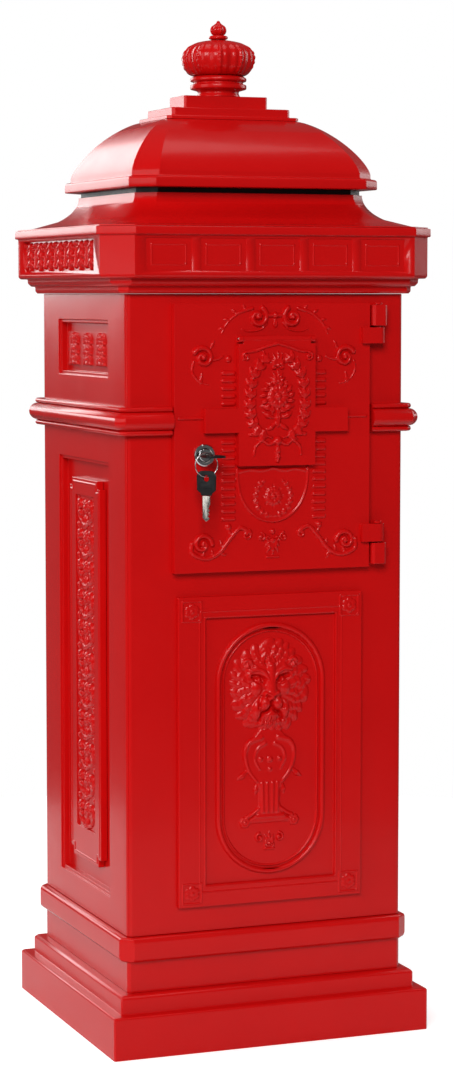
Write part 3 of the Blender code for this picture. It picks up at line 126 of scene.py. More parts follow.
class LetterBoxSizes(bpy.types.PropertyGroup):
    """Sizes of the casting's fine shape."""

    edge: FloatProperty(
        name="Edge radius",
        description="How far the casting's outer edges are rounded",
        default=0.0012,
        min=0.0002,
        max=0.003,
        unit="LENGTH",
    )
    corner: FloatProperty(
        name="Body corner",
        description="Radius of the body's upright corners",
        default=0.0055,
        min=0.001,
        max=0.006,
        unit="LENGTH",
    )
    relief_step: FloatProperty(
        name="Relief spacing",
        description="Spacing of the points that carry the relief ornament",
        default=0.0007,
        min=0.0003,
        max=0.002,
        unit="LENGTH",
    )
    crown_ribs: IntProperty(
        name="Crown ribs",
        description="Number of beaded bands round the crown",
        default=10,
        min=6,
        max=20,
    )
    turned_steps: IntProperty(
        name="Turned steps",
        description="Number of steps round a turned piece",
        default=96,
        min=24,
        max=160,
    )


class LetterBoxColours(bpy.types.PropertyGroup):
    """Colours of the finishes."""

    red: FloatVectorProperty(
        name="Enamel",
        description="Colour of the glossy enamel",
        default=(0.53, 0.0034, 0.0034),
        size=3,
        min=0,
        max=1,
        subtype="COLOR",
    )
    red_deep: FloatVectorProperty(
        name="Deep enamel",
        description="Colour of the enamel where it lies thicker",
        default=(0.50, 0.0028, 0.0030),
        size=3,
        min=0,
        max=1,
        subtype="COLOR",
    )
    # Black of the keys' grips, also used on the lid seat as painted shade in the gap under the lid.
    key_black_and_seat_shade: FloatVectorProperty(
        name="Key grip",
        description="Colour of the keys' moulded grips",
        default=(0.0035, 0.0035, 0.0040),
        size=3,
        min=0,
        max=1,
        subtype="COLOR",
    )
    zinc: FloatVectorProperty(
        name="Zinc plate",
        description="Colour of the plated fittings inside",
        default=(0.56, 0.57, 0.58),
        size=3,
        min=0,
        max=1,
        subtype="COLOR",
    )
    floor: FloatVectorProperty(
        name="Floor",
        description="Colour of the floor",
        default=(0.86, 0.86, 0.86),
        size=3,
        min=0,
        max=1,
        subtype="COLOR",
    )


def sizes():
    return bpy.context.scene.letter_box_sizes


def colours():
    return bpy.context.scene.letter_box_colours


# ------------------------------------------------------------------ finishes


def new_finish(name):
    made = bpy.data.materials.new(name)
    made.use_nodes = True
    tree = made.node_tree
    return made, tree, tree.nodes["Principled BSDF"]


def speckle(tree, scale, detail=3.0, stretch=None):
    """A noise over the piece's own coordinates."""
    place = tree.nodes.new("ShaderNodeTexCoord")
    noise = tree.nodes.new("ShaderNodeTexNoise")
    noise.inputs["Scale"].default_value = scale
    noise.inputs["Detail"].default_value = detail
    noise.inputs["Roughness"].default_value = 0.55
    source = place.outputs["Object"]
    if stretch:
        mapping = tree.nodes.new("ShaderNodeMapping")
        mapping.inputs["Scale"].default_value = stretch
        tree.links.new(source, mapping.inputs["Vector"])
        source = mapping.outputs["Vector"]
    tree.links.new(source, noise.inputs["Vector"])
    return noise.outputs["Fac"]


def vary(tree, factor, low, high, socket):
    """Spreads a factor over a range of values on a socket."""
    spread = tree.nodes.new("ShaderNodeMapRange")
    spread.inputs["From Min"].default_value = 0.3
    spread.inputs["From Max"].default_value = 0.7
    spread.inputs["To Min"].default_value = low
    spread.inputs["To Max"].default_value = high
    tree.links.new(factor, spread.inputs["Value"])
    tree.links.new(spread.outputs["Result"], socket)


def tint(tree, factor, first, second, socket):
    ramp = tree.nodes.new("ShaderNodeValToRGB")
    ramp.color_ramp.elements[0].position = 0.32
    ramp.color_ramp.elements[1].position = 0.68
    ramp.color_ramp.elements[0].color = (*first, 1)
    ramp.color_ramp.elements[1].color = (*second, 1)
    tree.links.new(factor, ramp.inputs["Fac"])
    tree.links.new(ramp.outputs["Color"], socket)


def texture_bump(tree, shader, layers):
    """Bumps laid one over another, each (height factor, strength, depth in metres)."""
    normal = None
    for factor, strength, depth in layers:
        bump = tree.nodes.new("ShaderNodeBump")
        bump.inputs["Strength"].default_value = strength
        bump.inputs["Distance"].default_value = depth
        tree.links.new(factor, bump.inputs["Height"])
        if normal:
            tree.links.new(normal, bump.inputs["Normal"])
        normal = bump.outputs["Normal"]
    tree.links.new(normal, shader.inputs["Normal"])
    return normal


ENAMEL_ROUGHNESS = (0.22, 0.27)


def red_enamel():
    """Glossy enamel over a casting: a fine orange peel with slow waves under it."""
    name = "cast_red_enamel"
    found = bpy.data.materials.get(name)
    if found:
        return found
    made, tree, shader = new_finish(name)
    pick = colours()
    cloud = speckle(tree, 9.0, 5.0)
    tint(tree, cloud, pick.red_deep, pick.red, shader.inputs["Base Color"])
    vary(tree, speckle(tree, 40.0), *ENAMEL_ROUGHNESS, shader.inputs["Roughness"])
    shader.inputs["Specular IOR Level"].default_value = 0.18
    shader.inputs["Coat Weight"].default_value = 0.10
    shader.inputs["Coat Roughness"].default_value = 0.09
    shader.inputs["Coat IOR"].default_value = 1.5
    normal = texture_bump(
        tree,
        shader,
        [
            (speckle(tree, 22.0, 2.0), 0.18, 0.0010),
            (speckle(tree, 620.0, 2.0), 0.35, 0.000025),
        ],
    )
    tree.links.new(normal, shader.inputs["Coat Normal"])
    return made


def metal(name, colour, rough, grain, stretch=None, bump=0.15):
    """Bare or plated metal with fine grain and smudges."""
    found = bpy.data.materials.get(name)
    if found:
        return found
    made, tree, shader = new_finish(name)
    darker = tuple(0.86 * c for c in colour)
    shader.inputs["Metallic"].default_value = 1.0
    tint(tree, speckle(tree, 120.0, 4.0), darker, colour, shader.inputs["Base Color"])
    smudge = speckle(tree, 90.0, 5.0)
    vary(tree, smudge, rough * 0.75, rough * 1.35, shader.inputs["Roughness"])
    fine = speckle(tree, grain, 2.0, stretch=stretch)
    texture_bump(tree, shader, [(fine, bump, 0.00004)])
    return made


def chrome():
    return metal("polished_chrome", (0.62, 0.62, 0.63), 0.11, 900.0, bump=0.05)


def bright_steel():
    return metal("bright_plated_steel", (0.54, 0.54, 0.54), 0.20, 1500.0, bump=0.1)


def zinc_plate():
    return metal("dull_zinc_plate", tuple(colours().zinc), 0.42, 420.0)


def key_metal():
    return metal("nickel_silver", (0.46, 0.44, 0.40), 0.26, 600.0, (0.15, 0.15, 2.0), 0.25)


# Black moulded grip of the keys; the lid seat also wears this finish as painted shade in the gap under
# the lid.
def black_grip_and_seat_shade():
    found = bpy.data.materials.get("black_grip_and_painted_seat_shade")
    if found:
        return found
    made, tree, shader = new_finish("black_grip_and_painted_seat_shade")
    black = tuple(colours().key_black_and_seat_shade)
    worn = tuple(2.2 * c for c in black)
    tint(tree, speckle(tree, 300.0, 4.0), black, worn, shader.inputs["Base Color"])
    vary(tree, speckle(tree, 260.0), 0.36, 0.52, shader.inputs["Roughness"])
    shader.inputs["Specular IOR Level"].default_value = 0.25
    texture_bump(tree, shader, [(speckle(tree, 2600.0, 2.0), 0.35, 0.00005)])
    return made


# ------------------------------------------------------------------ making pieces


def dress(piece, finish, slot_name, body, *nodes):
    """Puts a finished piece on its body, with its finish and the parts it stands for."""
    if piece.name not in bpy.context.scene.collection.objects:
        bpy.context.scene.collection.objects.link(piece)
    if finish:
        piece.data.materials.clear()
        piece.data.materials.append(finish)
    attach(piece, body)
    if nodes:
        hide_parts(*nodes)
    return piece


def painted(piece, body, *nodes):
    """Gives a casting its enamel, its body and the parts it stands for."""
    return dress(piece, red_enamel(), "red_paint", body, *nodes)


def keep(nodes, finish, edge=0.0, segments=2):
    """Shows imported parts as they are, with a finish and slightly rounded edges."""
    for name in nodes:
        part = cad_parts[name]
        part.data.materials.clear()
        part.data.materials.append(finish)
        if not edge:
            continue
        weld = part.modifiers.new("weld", "WELD")
        weld.merge_threshold = 0.00002
        bevel = part.modifiers.new("edge", "BEVEL")
        bevel.width = edge
        bevel.segments = segments
        bevel.limit_method = "ANGLE"
        bevel.angle_limit = math.radians(40)
        bevel.harden_normals = True


def mesh_piece(name, bm, angle=35):
    """A new object from a bmesh, facing out and shaded smooth up to an angle."""
    bmesh.ops.recalc_face_normals(bm, faces=bm.faces)
    mesh = bpy.data.meshes.new(name)
    bm.to_mesh(mesh)
    bm.free()
    mesh.shade_smooth()
    mesh.set_sharp_from_angle(angle=math.radians(angle))
    piece = bpy.data.objects.new(name, mesh)
    bpy.context.scene.collection.objects.link(piece)
    return piece


def cut_corner_plan(half_x, half_y, cut):
    """A rectangle's plan with its corners cut off at 45 degrees, anticlockwise."""
    points = []
    for index, (sx, sy) in enumerate(((1, -1), (1, 1), (-1, 1), (-1, -1))):
        pair = [(sx * (half_x - cut), sy * half_y), (sx * half_x, sy * (half_y - cut))]
        points += pair if index % 2 == 0 else pair[::-1]
    return points


def softened(sections, radius, steps=3):
    """Rounds each turn in a run of sections by up to a radius."""
    rows = [np.array(section, float) for section in sections]
    soft = [rows[0]]
    for before, here, after in zip(rows, rows[1:], rows[2:]):
        back, forward = before - here, after - here
        back_length = math.hypot(back[0], back[3])
        forward_length = math.hypot(forward[0], forward[3])
        if min(back_length, forward_length) < 1e-6:
            soft.append(here)
            continue
        turn = np.dot(back[[0, 3]], forward[[0, 3]]) / (back_length * forward_length)
        if turn < -0.985:
            soft.append(here)
            continue
        start = here + back * min(radius / back_length, 0.45)
        end = here + forward * min(radius / forward_length, 0.45)
        for i in range(steps + 1):
            t = i / steps
            soft.append((1 - t) ** 2 * start + 2 * t * (1 - t) * here + t * t * end)
    soft.append(rows[-1])
    return soft


def moulded(name, sections, ring, angle=32):
    """A casting lofted through cut-corner sections (half x, half y, cut, height)."""
    bm = bmesh.new()
    loops = []
    for half_x, half_y, cut, z in sections:
        loops.append([bm.verts.new((x, y, z)) for x, y in cut_corner_plan(half_x, half_y, cut)])
    pairs = list(zip(loops, loops[1:]))
    if ring:
        pairs.append((loops[-1], loops[0]))
    for first, second in pairs:
        for i in range(8):
            corners = (first[i - 1], first[i], second[i], second[i - 1])
            bm.faces.new(corners)
    if not ring:
        bm.faces.new(loops[0][::-1])
        bm.faces.new(loops[-1])
    return mesh_piece(name, bm, angle)


def course(proud, z, cut=None):
    """A section of the body that stands proud of its walls."""
    corner = max(proud, MIN_CORNER) if cut is None else cut
    return (BODY_X + proud, BODY_Y + proud, corner, z)


def turned(name, profile, steps=None, ribs=None, angle=40):
    """A turned piece from (radius, height) points; ribs(angle, radius, height) adds to a radius."""
    steps = steps or sizes().turned_steps
    bm = bmesh.new()
    rings = []
    for radius, z in profile:
        if radius < 1e-6:
            rings.append([bm.verts.new((0, 0, z))])
            continue
        ring = []
        for i in range(steps):
            a = 2 * math.pi * i / steps
            r = radius + (ribs(a, radius, z) if ribs else 0)
            ring.append(bm.verts.new((r * math.cos(a), r * math.sin(a), z)))
        rings.append(ring)
    for upper, lower in zip(rings, rings[1:]):
        for i in range(steps):
            if len(upper) == 1:
                bm.faces.new((upper[0], lower[i - 1], lower[i]))
            elif len(lower) == 1:
                bm.faces.new((upper[i - 1], lower[0], upper[i]))
            else:
                bm.faces.new((upper[i - 1], lower[i - 1], lower[i], upper[i]))
    for ring, top in ((rings[0], True), (rings[-1], False)):
        if len(ring) > 1:
            bm.faces.new(ring if top else ring[::-1])
    return mesh_piece(name, bm, angle)


def smooth_profile(points):
    """Rounds the corners of a (radius, height) profile."""
    rows = [(r, 0, 0, z) for r, z in points]
    return [(row[0], row[3]) for row in softened(rows, 0.0011, 4)]


def outline_piece(name, outlines, half, edge, segments):
    """A flat outline with holes, given a half thickness and rounded edges."""
    curve = bpy.data.curves.new(name, "CURVE")
    curve.dimensions = "2D"
    curve.fill_mode = "BOTH"
    curve.extrude = half - edge
    curve.bevel_depth = edge
    curve.bevel_resolution = segments
    curve.offset = -edge
    for outline in outlines:
        spline = curve.splines.new("POLY")
        spline.points.add(len(outline) - 1)
        for point, (x, y) in zip(spline.points, outline):
            point.co = (x, y, 0, 1)
        spline.use_cyclic_u = True
    drawn = bpy.data.objects.new(name, curve)
    bpy.context.scene.collection.objects.link(drawn)
    bpy.context.view_layer.update()
    graph = bpy.context.evaluated_depsgraph_get()
    bm = bmesh.new()
    bm.from_mesh(bpy.data.meshes.new_from_object(drawn.evaluated_get(graph)))
    bpy.data.objects.remove(drawn)
    bmesh.ops.remove_doubles(bm, verts=bm.verts, dist=1e-6)
    return mesh_piece(name, bm)


def arc(centre, radius, start, end, steps):
    angles = [math.radians(start + (end - start) * i / steps) for i in range(steps + 1)]
    return [(centre[0] + radius * math.cos(a), centre[1] + radius * math.sin(a)) for a in angles]


def circle(centre, radius, steps=48):
    return arc(centre, radius, 0, 360, steps)[:-1]


# ------------------------------------------------------------------ relief ornament


class Board:
    """A sheet of heights that relief ornament is drawn on, u to the right and v up."""

    def __init__(self, u_low, u_high, v_low, v_high, step=None):
        self.step = step or sizes().relief_step
        self.u = np.arange(u_low, u_high + self.step, self.step)
        self.v = np.arange(v_low, v_high + self.step, self.step)
        self.height = np.full((len(self.v), len(self.u)), -0.0005)

    def window(self, points, reach):
        points = np.asarray(points, float)
        low, high = points.min(0) - reach, points.max(0) + reach
        i0, i1 = np.searchsorted(self.u, [low[0], high[0]])
        j0, j1 = np.searchsorted(self.v, [low[1], high[1]])
        if i1 <= i0 or j1 <= j0:
            return None
        grid_u, grid_v = np.meshgrid(self.u[i0:i1], self.v[j0:j1])
        return (slice(j0, j1), slice(i0, i1)), grid_u, grid_v

    def raise_to(self, place, heights):
        self.height[place] = np.maximum(self.height[place], heights)

    def stroke(self, points, width, height, end_width=None, end_height=None):
        """A rounded ridge along points, tapering from its first width and height to its last."""
        end_width = width if end_width is None else end_width
        end_height = height if end_height is None else end_height
        found = self.window(points, max(width, end_width))
        if found is None:
            return
        place, grid_u, grid_v = found
        points = np.asarray(points, float)
        lengths = np.hypot(*np.diff(points, axis=0).T)
        along = np.concatenate([[0], np.cumsum(lengths)])
        total = max(along[-1], 1e-9)
        best = np.full(grid_u.shape, -0.0005)
        for k, (a, b) in enumerate(zip(points, points[1:])):
            if lengths[k] < 1e-9:
                continue
            du, dv = (b - a) / lengths[k]
            t = np.clip((grid_u - a[0]) * du + (grid_v - a[1]) * dv, 0, lengths[k])
            away = np.hypot(grid_u - a[0] - t * du, grid_v - a[1] - t * dv)
            share = (along[k] + t) / total
            half = width + (end_width - width) * share
            peak = height + (end_height - height) * share
            inside = np.clip(1 - (away / half) ** 2, 0, 1)
            ridge = np.where(away < half, peak * inside**0.5, -0.0005)
            best = np.maximum(best, ridge)
        self.raise_to(place, best)

    def boss(self, centre, radius, height, flat=0.5):
        """A round swelling."""
        found = self.window([centre], radius)
        if found is None:
            return
        place, grid_u, grid_v = found
        away = np.hypot(grid_u - centre[0], grid_v - centre[1]) / radius
        shape = np.where(away < 1, height * np.clip(1 - away**2, 0, 1) ** flat, -0.0005)
        self.raise_to(place, shape)

    def plate(self, inside, height, ramp=0.0008):
        """Raises where inside(u, v), a signed depth in metres, is above nought."""
        grid_u, grid_v = np.meshgrid(self.u, self.v)
        depth = inside(grid_u, grid_v)
        shape = np.where(depth > 0, height * np.clip(depth / ramp, 0, 1) ** 0.6, -0.0005)
        self.height = np.maximum(self.height, shape)

    def carve(self, points, width, depth):
        """A groove along points, only where something is raised."""
        found = self.window(points, width)
        if found is None:
            return
        place, grid_u, grid_v = found
        points = np.asarray(points, float)
        away = np.full(grid_u.shape, 1.0)
        for a, b in zip(points, points[1:]):
            length = np.hypot(*(b - a))
            if length < 1e-9:
                continue
            du, dv = (b - a) / length
            t = np.clip((grid_u - a[0]) * du + (grid_v - a[1]) * dv, 0, length)
            away = np.minimum(away, np.hypot(grid_u - a[0] - t * du, grid_v - a[1] - t * dv))
        groove = depth * np.clip(1 - (away / width) ** 2, 0, 1)
        there = self.height[place]
        self.height[place] = np.where(there > 0, np.maximum(there - groove, 0.0001), there)

    def soften(self):
        """Blends each height with its four neighbours."""
        h = np.pad(self.height, 1, mode="edge")
        near = h[:-2, 1:-1] + h[2:, 1:-1] + h[1:-1, :-2] + h[1:-1, 2:]
        self.height = 0.5 * self.height + 0.125 * near


def spiral(centre, start_radius, end_radius, start, end, steps=40):
    points = []
    for i in range(steps + 1):
        t = i / steps
        radius = start_radius * (1 - t) + end_radius * t
        a = math.radians(start + (end - start) * t)
        points.append((centre[0] + radius * math.cos(a), centre[1] + radius * math.sin(a)))
    return points


def bend(*controls, steps):
    """A Bezier curve through any number of control points."""
    controls = [np.array(c, float) for c in controls]
    points = []
    for i in range(steps + 1):
        t = i / steps
        row = controls
        while len(row) > 1:
            row = [(1 - t) * a + t * b for a, b in zip(row, row[1:])]
        points.append(tuple(row[0]))
    return points


FLOW_STEPS = 8


def flow(*through):
    """A smooth line through points."""
    rows = [np.array(p, float) for p in through]
    rows = [2 * rows[0] - rows[1], *rows, 2 * rows[-1] - rows[-2]]
    points = []
    for a, b, c, d in zip(rows, rows[1:], rows[2:], rows[3:]):
        for i in range(FLOW_STEPS):
            t = i / FLOW_STEPS
            start = 2 * b + (c - a) * t + (2 * a - 5 * b + 4 * c - d) * t**2
            points.append(tuple(0.5 * start + 0.5 * (3 * b - a - 3 * c + d) * t**3))
    points.append(tuple(rows[-2]))
    return points


def mirrored(points, centre):
    return [(2 * centre - u, v) for u, v in points]


def around(centre, side, *offsets):
    """Points by their offsets from a centre, on its left when side is -1 and right when it is 1."""
    return [(centre[0] + side * u, centre[1] + v) for u, v in offsets]


def smooth_around(centre, side, *offsets):
    """A smooth line through points given by their offsets from a centre."""
    return flow(*around(centre, side, *offsets))


def leaf(board, base, direction, length, width, height, curl=0.0):
    """A pointed leaf with a vein, curling to one side."""
    a = math.radians(direction)
    b = math.radians(direction + curl)
    middle = (base[0] + 0.55 * length * math.cos(a), base[1] + 0.55 * length * math.sin(a))
    tip = (middle[0] + 0.45 * length * math.cos(b), middle[1] + 0.45 * length * math.sin(b))
    line = bend(base, middle, tip, steps=10)
    half = len(line) // 2
    board.stroke(line[: half + 1], 0.45 * width, 0.6 * height, width, height)
    board.stroke(line[half:], width, height, 0.15 * width, 0.35 * height)
    board.carve(line, 0.28 * width, 0.30 * height)


def flower(board, centre, radius, petals, height, turn=0.0):
    for i in range(petals):
        a = turn + 360 * i / petals
        away = 0.58 * radius
        reach_u, reach_v = away * math.cos(math.radians(a)), away * math.sin(math.radians(a))
        at = (centre[0] + reach_u, centre[1] + reach_v)
        board.boss(at, 0.44 * radius, 0.75 * height)
        end = (2 * at[0] - centre[0], 2 * at[1] - centre[1])
        board.carve([centre, end], 0.10 * radius, 0.2 * height)
    board.boss(centre, 0.34 * radius, height)


def palmette(board, base, direction, size, height, blades=7, spread=75):
    """A fan of leaves with two small scrolls at its foot."""
    for i in range(blades):
        share = i / (blades - 1) * 2 - 1
        length = size * (1 - 0.38 * abs(share) ** 1.5)
        leaf(board, base, direction + spread * share, length, 0.12 * size, height, -18 * share)
    board.boss(base, 0.16 * size, 1.15 * height)
    for side in (-1, 1):
        a = math.radians(direction + side * 118)
        at = (base[0] + 0.3 * size * math.cos(a), base[1] + 0.3 * size * math.sin(a))
        board.stroke(
            spiral(at, 0.19 * size, 0.03 * size, direction - side * 60, direction + side * 330, 24),
            0.07 * size,
            0.8 * height,
            0.05 * size,
            height,
        )


def volute(board, centre, radius, start, turns, width, height):
    """A scroll winding in to a boss; a negative number of turns winds clockwise."""
    line = spiral(centre, radius, 0.22 * radius, start, start + 360 * turns, 60)
    board.stroke(line, width, height, 0.7 * width, 1.15 * height)
    board.boss(centre, 0.30 * radius, 1.35 * height)


RELIEF_BED = 0.0010


def emboss(name, board, place):
    """A closed piece for the raised parts of a board; place maps (u, v, height) to the world."""
    heights = board.height
    raised = heights > 0
    cells = raised[:-1, :-1] | raised[1:, :-1] | raised[:-1, 1:] | raised[1:, 1:]
    cells[0, :] = cells[-1, :] = False
    cells[:, 0] = cells[:, -1] = False
    while True:
        a, b = cells[:-1, :-1], cells[:-1, 1:]
        c, d = cells[1:, :-1], cells[1:, 1:]
        falling, rising = a & d & ~b & ~c, b & c & ~a & ~d
        if not falling.any() and not rising.any():
            break
        cells[:-1, 1:] |= falling
        cells[:-1, :-1] |= rising
    used = np.zeros(heights.shape, bool)
    used[:-1, :-1] |= cells
    used[1:, :-1] |= cells
    used[:-1, 1:] |= cells
    used[1:, 1:] |= cells
    index = np.full(heights.shape, -1)
    count = int(used.sum())
    index[used] = np.arange(count)
    grid_u, grid_v = np.meshgrid(board.u, board.v)
    top = np.stack([grid_u[used], grid_v[used], np.maximum(heights[used], -0.0004)], 1)
    bottom = top.copy()
    bottom[:, 2] = -RELIEF_BED
    flat = np.concatenate([top, bottom])
    matrix = np.array(place, float)
    world = flat @ matrix[:3, :3].T + matrix[:3, 3]
    j, i = np.nonzero(cells)
    corners = [index[j, i], index[j, i + 1], index[j + 1, i + 1], index[j + 1, i]]
    front = np.stack(corners, 1)
    faces = [front, front[:, ::-1] + count]
    padded = np.pad(cells, 1)
    sides = ((-1, 0, 0, 1), (0, 1, 1, 2), (1, 0, 2, 3), (0, -1, 3, 0))
    for dj, di, first, second in sides:
        edge = ~padded[j + 1 + dj, i + 1 + di]
        start, end = corners[first][edge], corners[second][edge]
        faces.append(np.stack([end, start, start + count, end + count], 1))
    quads = np.concatenate(faces)
    mesh = bpy.data.meshes.new(name)
    mesh.vertices.add(len(world))
    mesh.vertices.foreach_set("co", world.astype(np.float32).ravel())
    mesh.loops.add(len(quads) * 4)
    mesh.loops.foreach_set("vertex_index", quads.astype(np.int32).ravel())
    mesh.polygons.add(len(quads))
    mesh.polygons.foreach_set("loop_start", np.arange(0, len(quads) * 4, 4, dtype=np.int32))
    mesh.update()
    mesh.validate()
    mesh.shade_smooth()
    mesh.set_sharp_from_angle(angle=math.radians(60))
    piece = bpy.data.objects.new(name, mesh)
    bpy.context.scene.collection.objects.link(piece)
    return piece


def facing(outward, offset):
    """The map from a board to a wall that faces outward, a unit vector in plan, at a distance."""
    nx, ny = outward
    return Matrix(((-ny, 0, nx, nx * offset), (nx, 0, ny, ny * offset), (0, 1, 0, 0), (0, 0, 0, 1)))


# ------------------------------------------------------------------ courses of the body


class LETTERBOX_OT_base(bpy.types.Operator):
    """Make the stepped base and the lower frame"""

    bl_idname = "letterbox.base"
    bl_label = "Base"

    def execute(self, context):
        edge = sizes().edge
        low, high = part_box("base_casting")
        step, belt_high = high.z, high_of("lower_frame").z
        slab = high.x - BODY_X
        slab_top, plinth_proud = 0.0425, 0.0105
        sections = [
            course(slab, low.z, MIN_CORNER),
            course(slab, slab_top - 0.0015, MIN_CORNER),
            course(slab - 0.0015, slab_top, MIN_CORNER),
            course(plinth_proud, slab_top, MIN_CORNER),
            course(plinth_proud, step - 0.0028, MIN_CORNER),
            course(plinth_proud - 0.0028, step, MIN_CORNER),
            course(-0.035, step, MIN_CORNER),
            course(-0.035, step - 0.004, MIN_CORNER),
            course(0.0035, step - 0.004, MIN_CORNER),
            course(0.0035, low.z, MIN_CORNER),
        ]
        base = moulded("base_casting_visual", softened(sections, edge), ring=True)
        painted(base, "cabinet", "base_casting")
        frame_low = low_of("lower_frame").z
        belt_low = 0.0924
        proud = high_of("lower_frame").x - BODY_X
        sections = [
            course(0, frame_low, 0.003),
            course(0, belt_low, 0.003),
            course(proud - 0.0026, belt_low, 0.008),
            course(proud, belt_low + 0.0030, 0.012),
            course(proud, belt_high - 0.0030, 0.012),
            course(proud - 0.0026, belt_high, 0.008),
            course(-0.007, belt_high, MIN_CORNER),
            course(-0.007, frame_low + 0.004, MIN_CORNER),
            course(-0.035, frame_low + 0.004, MIN_CORNER),
            course(-0.035, frame_low, MIN_CORNER),
        ]
        lower = moulded("lower_frame_visual", softened(sections, 0.0022, 4), ring=True)
        painted(lower, "cabinet", "lower_frame")
        return {"FINISHED"}


def wall_plan(side):
    """Plan of one wall with its rounded, mitred ends; side is front, back, left or right."""
    radius = sizes().corner
    along_front = side in ("front", "back")
    half, depth = (BODY_X, BODY_Y) if along_front else (BODY_Y, BODY_X)
    wall = FRONT_WALL if along_front else SIDE_WALL
    inner = half - MITRE
    turn = arc((half - radius, depth - radius), radius, 90, 45, 5)
    ends = [*turn, (inner, depth - MITRE)]
    if not along_front:
        ends.append((inner, depth - wall))
    points = [*ends, *[(-u, v) for u, v in ends[::-1]]]
    turned_to = {
        "front": lambda u, v: (u, -v),
        "back": lambda u, v: (u, v),
        "left": lambda u, v: (-v, u),
        "right": lambda u, v: (v, u),
    }[side]
    return [turned_to(u, v) for u, v in points]


def wall_piece(name, side):
    """An upright wall with nothing cut from it."""
    bm = bmesh.new()
    plan = wall_plan(side)
    loops = []
    for z in (WALL_LOW, WALL_HIGH):
        loops.append([bm.verts.new((x, y, z)) for x, y in plan])
    for i in range(len(plan)):
        bm.faces.new((loops[0][i - 1], loops[0][i], loops[1][i], loops[1][i - 1]))
    bm.faces.new(loops[0][::-1])
    bm.faces.new(loops[1])
    return mesh_piece(name, bm, 30)


def cut_away(piece, low, high):
    """Cuts a box out of a piece for good."""
    low, high = Vector(low), Vector(high)
    bm = bmesh.new()
    bmesh.ops.create_cube(bm, size=1.0)
    bmesh.ops.scale(bm, vec=high - low, verts=bm.verts)
    bmesh.ops.translate(bm, vec=(low + high) / 2, verts=bm.verts)
    cutter = mesh_piece("cutter", bm)
    change = piece.modifiers.new("cut", "BOOLEAN")
    change.object = cutter
    bpy.context.view_layer.update()
    graph = bpy.context.evaluated_depsgraph_get()
    mesh = bpy.data.meshes.new_from_object(piece.evaluated_get(graph))
    piece.modifiers.clear()
    piece.data = mesh
    bpy.data.objects.remove(cutter)


def round_edges(piece, width, segments=2, angle=40):
    bevel = piece.modifiers.new("edge", "BEVEL")
    bevel.width = width
    bevel.segments = segments
    bevel.limit_method = "ANGLE"
    bevel.angle_limit = math.radians(angle)
    bevel.harden_normals = True


class LETTERBOX_OT_walls(bpy.types.Operator):
    """Make the four walls, with the door opening and the recessed side panels"""

    bl_idname = "letterbox.walls"
    bl_label = "Walls"

    def execute(self, context):
        front = wall_piece("front_wall", "front")
        left, right = DOOR_X - OPENING_HALF, DOOR_X + OPENING_HALF
        cut_away(front, (left, -0.2, OPENING_LOW), (right, -0.1, OPENING_HIGH))
        painted(front, "cabinet", "front_panel")
        back = wall_piece("back_wall", "back")
        painted(back, "cabinet", "back_panel")
        for sign, side in ((-1, "left"), (1, "right")):
            wall = wall_piece(f"{side}_wall", side)
            for z_low, z_high in RECESSES:
                self.recess(wall, sign, z_low, z_high)
            painted(wall, "cabinet", f"{side}_side_panel")
            round_edges(wall, 0.0007, 2, 32)
        round_edges(front, 0.0006, 2, 50)
        return {"FINISHED"}

    def recess(self, wall, sign, z_low, z_high):
        """A recess with a splayed step round its mouth."""
        half = RECESS_HALF
        for inset, far in ((0.0, RECESS_LIP), (RECESS_SPLAY, RECESS_DEPTH)):
            near = sign * (BODY_X - far)
            out = sign * (BODY_X + 0.01)
            cut_away(
                wall,
                (min(near, out), -half + inset, z_low + inset),
                (max(near, out), half - inset, z_high - inset),
            )


class LETTERBOX_OT_mid_belt(bpy.types.Operator):
    """Make the half-round belt between its two beads"""

    bl_idname = "letterbox.mid_belt"
    bl_label = "Middle belt"

    def execute(self, context):
        low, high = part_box("mid_belt")
        proud = high.x - BODY_X
        middle, reach = (low.z + high.z) / 2, (high.z - low.z) / 2
        bead, ledge = 0.0052, 0.0056
        sections = [course(0.0002, low.z, MIN_CORNER)]
        for degrees in range(-90, 91, 20):
            a = math.radians(degrees)
            rise = low.z + bead / 2 * (1 + math.sin(a))
            sections.append(self.step(ledge + 0.0024 * math.cos(a), rise))
        for degrees in range(-90, 91, 10):
            a = math.radians(degrees)
            rise = middle + (reach - bead) * math.sin(a)
            sections.append(self.step(ledge + (proud - ledge) * math.cos(a), rise))
        for degrees in range(-90, 91, 20):
            a = math.radians(degrees)
            rise = high.z - bead / 2 * (1 - math.sin(a))
            sections.append(self.step(ledge + 0.0024 * math.cos(a), rise))
        sections.append(course(0.0002, high.z, MIN_CORNER))
        belt = moulded("mid_belt_visual", sections, ring=True, angle=38)
        left, right = DOOR_LOW.x - 0.0015, 0.1100
        cut_away(belt, (left, -0.2, low.z - 0.01), (right, -0.1, high.z + 0.01))
        belt.data.shade_smooth()
        belt.data.set_sharp_from_angle(angle=math.radians(38))
        painted(belt, "cabinet", "mid_belt")
        return {"FINISHED"}

    def step(self, proud, z):
        return course(proud, z, 0.0020 + 0.45 * proud)


FRIEZE_LOW, FRIEZE_HIGH = 0.7690, 0.8005
FRIEZE_PROUD = 0.0264
FRIEZE_DEPTH = {"side": 0.0045, "front": 0.0007}


def frieze_fields():
    """The sunk fields round the frieze: a distance along the wall, a half width and which wall."""
    fields = []
    for side in ("left", "right"):
        fields.append((0.0, BODY_Y - 0.0180, side))
    for side in ("front", "back"):
        for k in range(-2, 3):
            fields.append((k * 0.0560, 0.0235, side))
    return fields


def wall_frame(side):
    """The outward direction of a wall and the distance of the frieze's face from the middle."""
    return {
        "left": ((-1, 0), BODY_X + FRIEZE_PROUD),
        "right": ((1, 0), BODY_X + FRIEZE_PROUD),
        "front": ((0, -1), BODY_Y + FRIEZE_PROUD),
        "back": ((0, 1), BODY_Y + FRIEZE_PROUD),
    }[side]


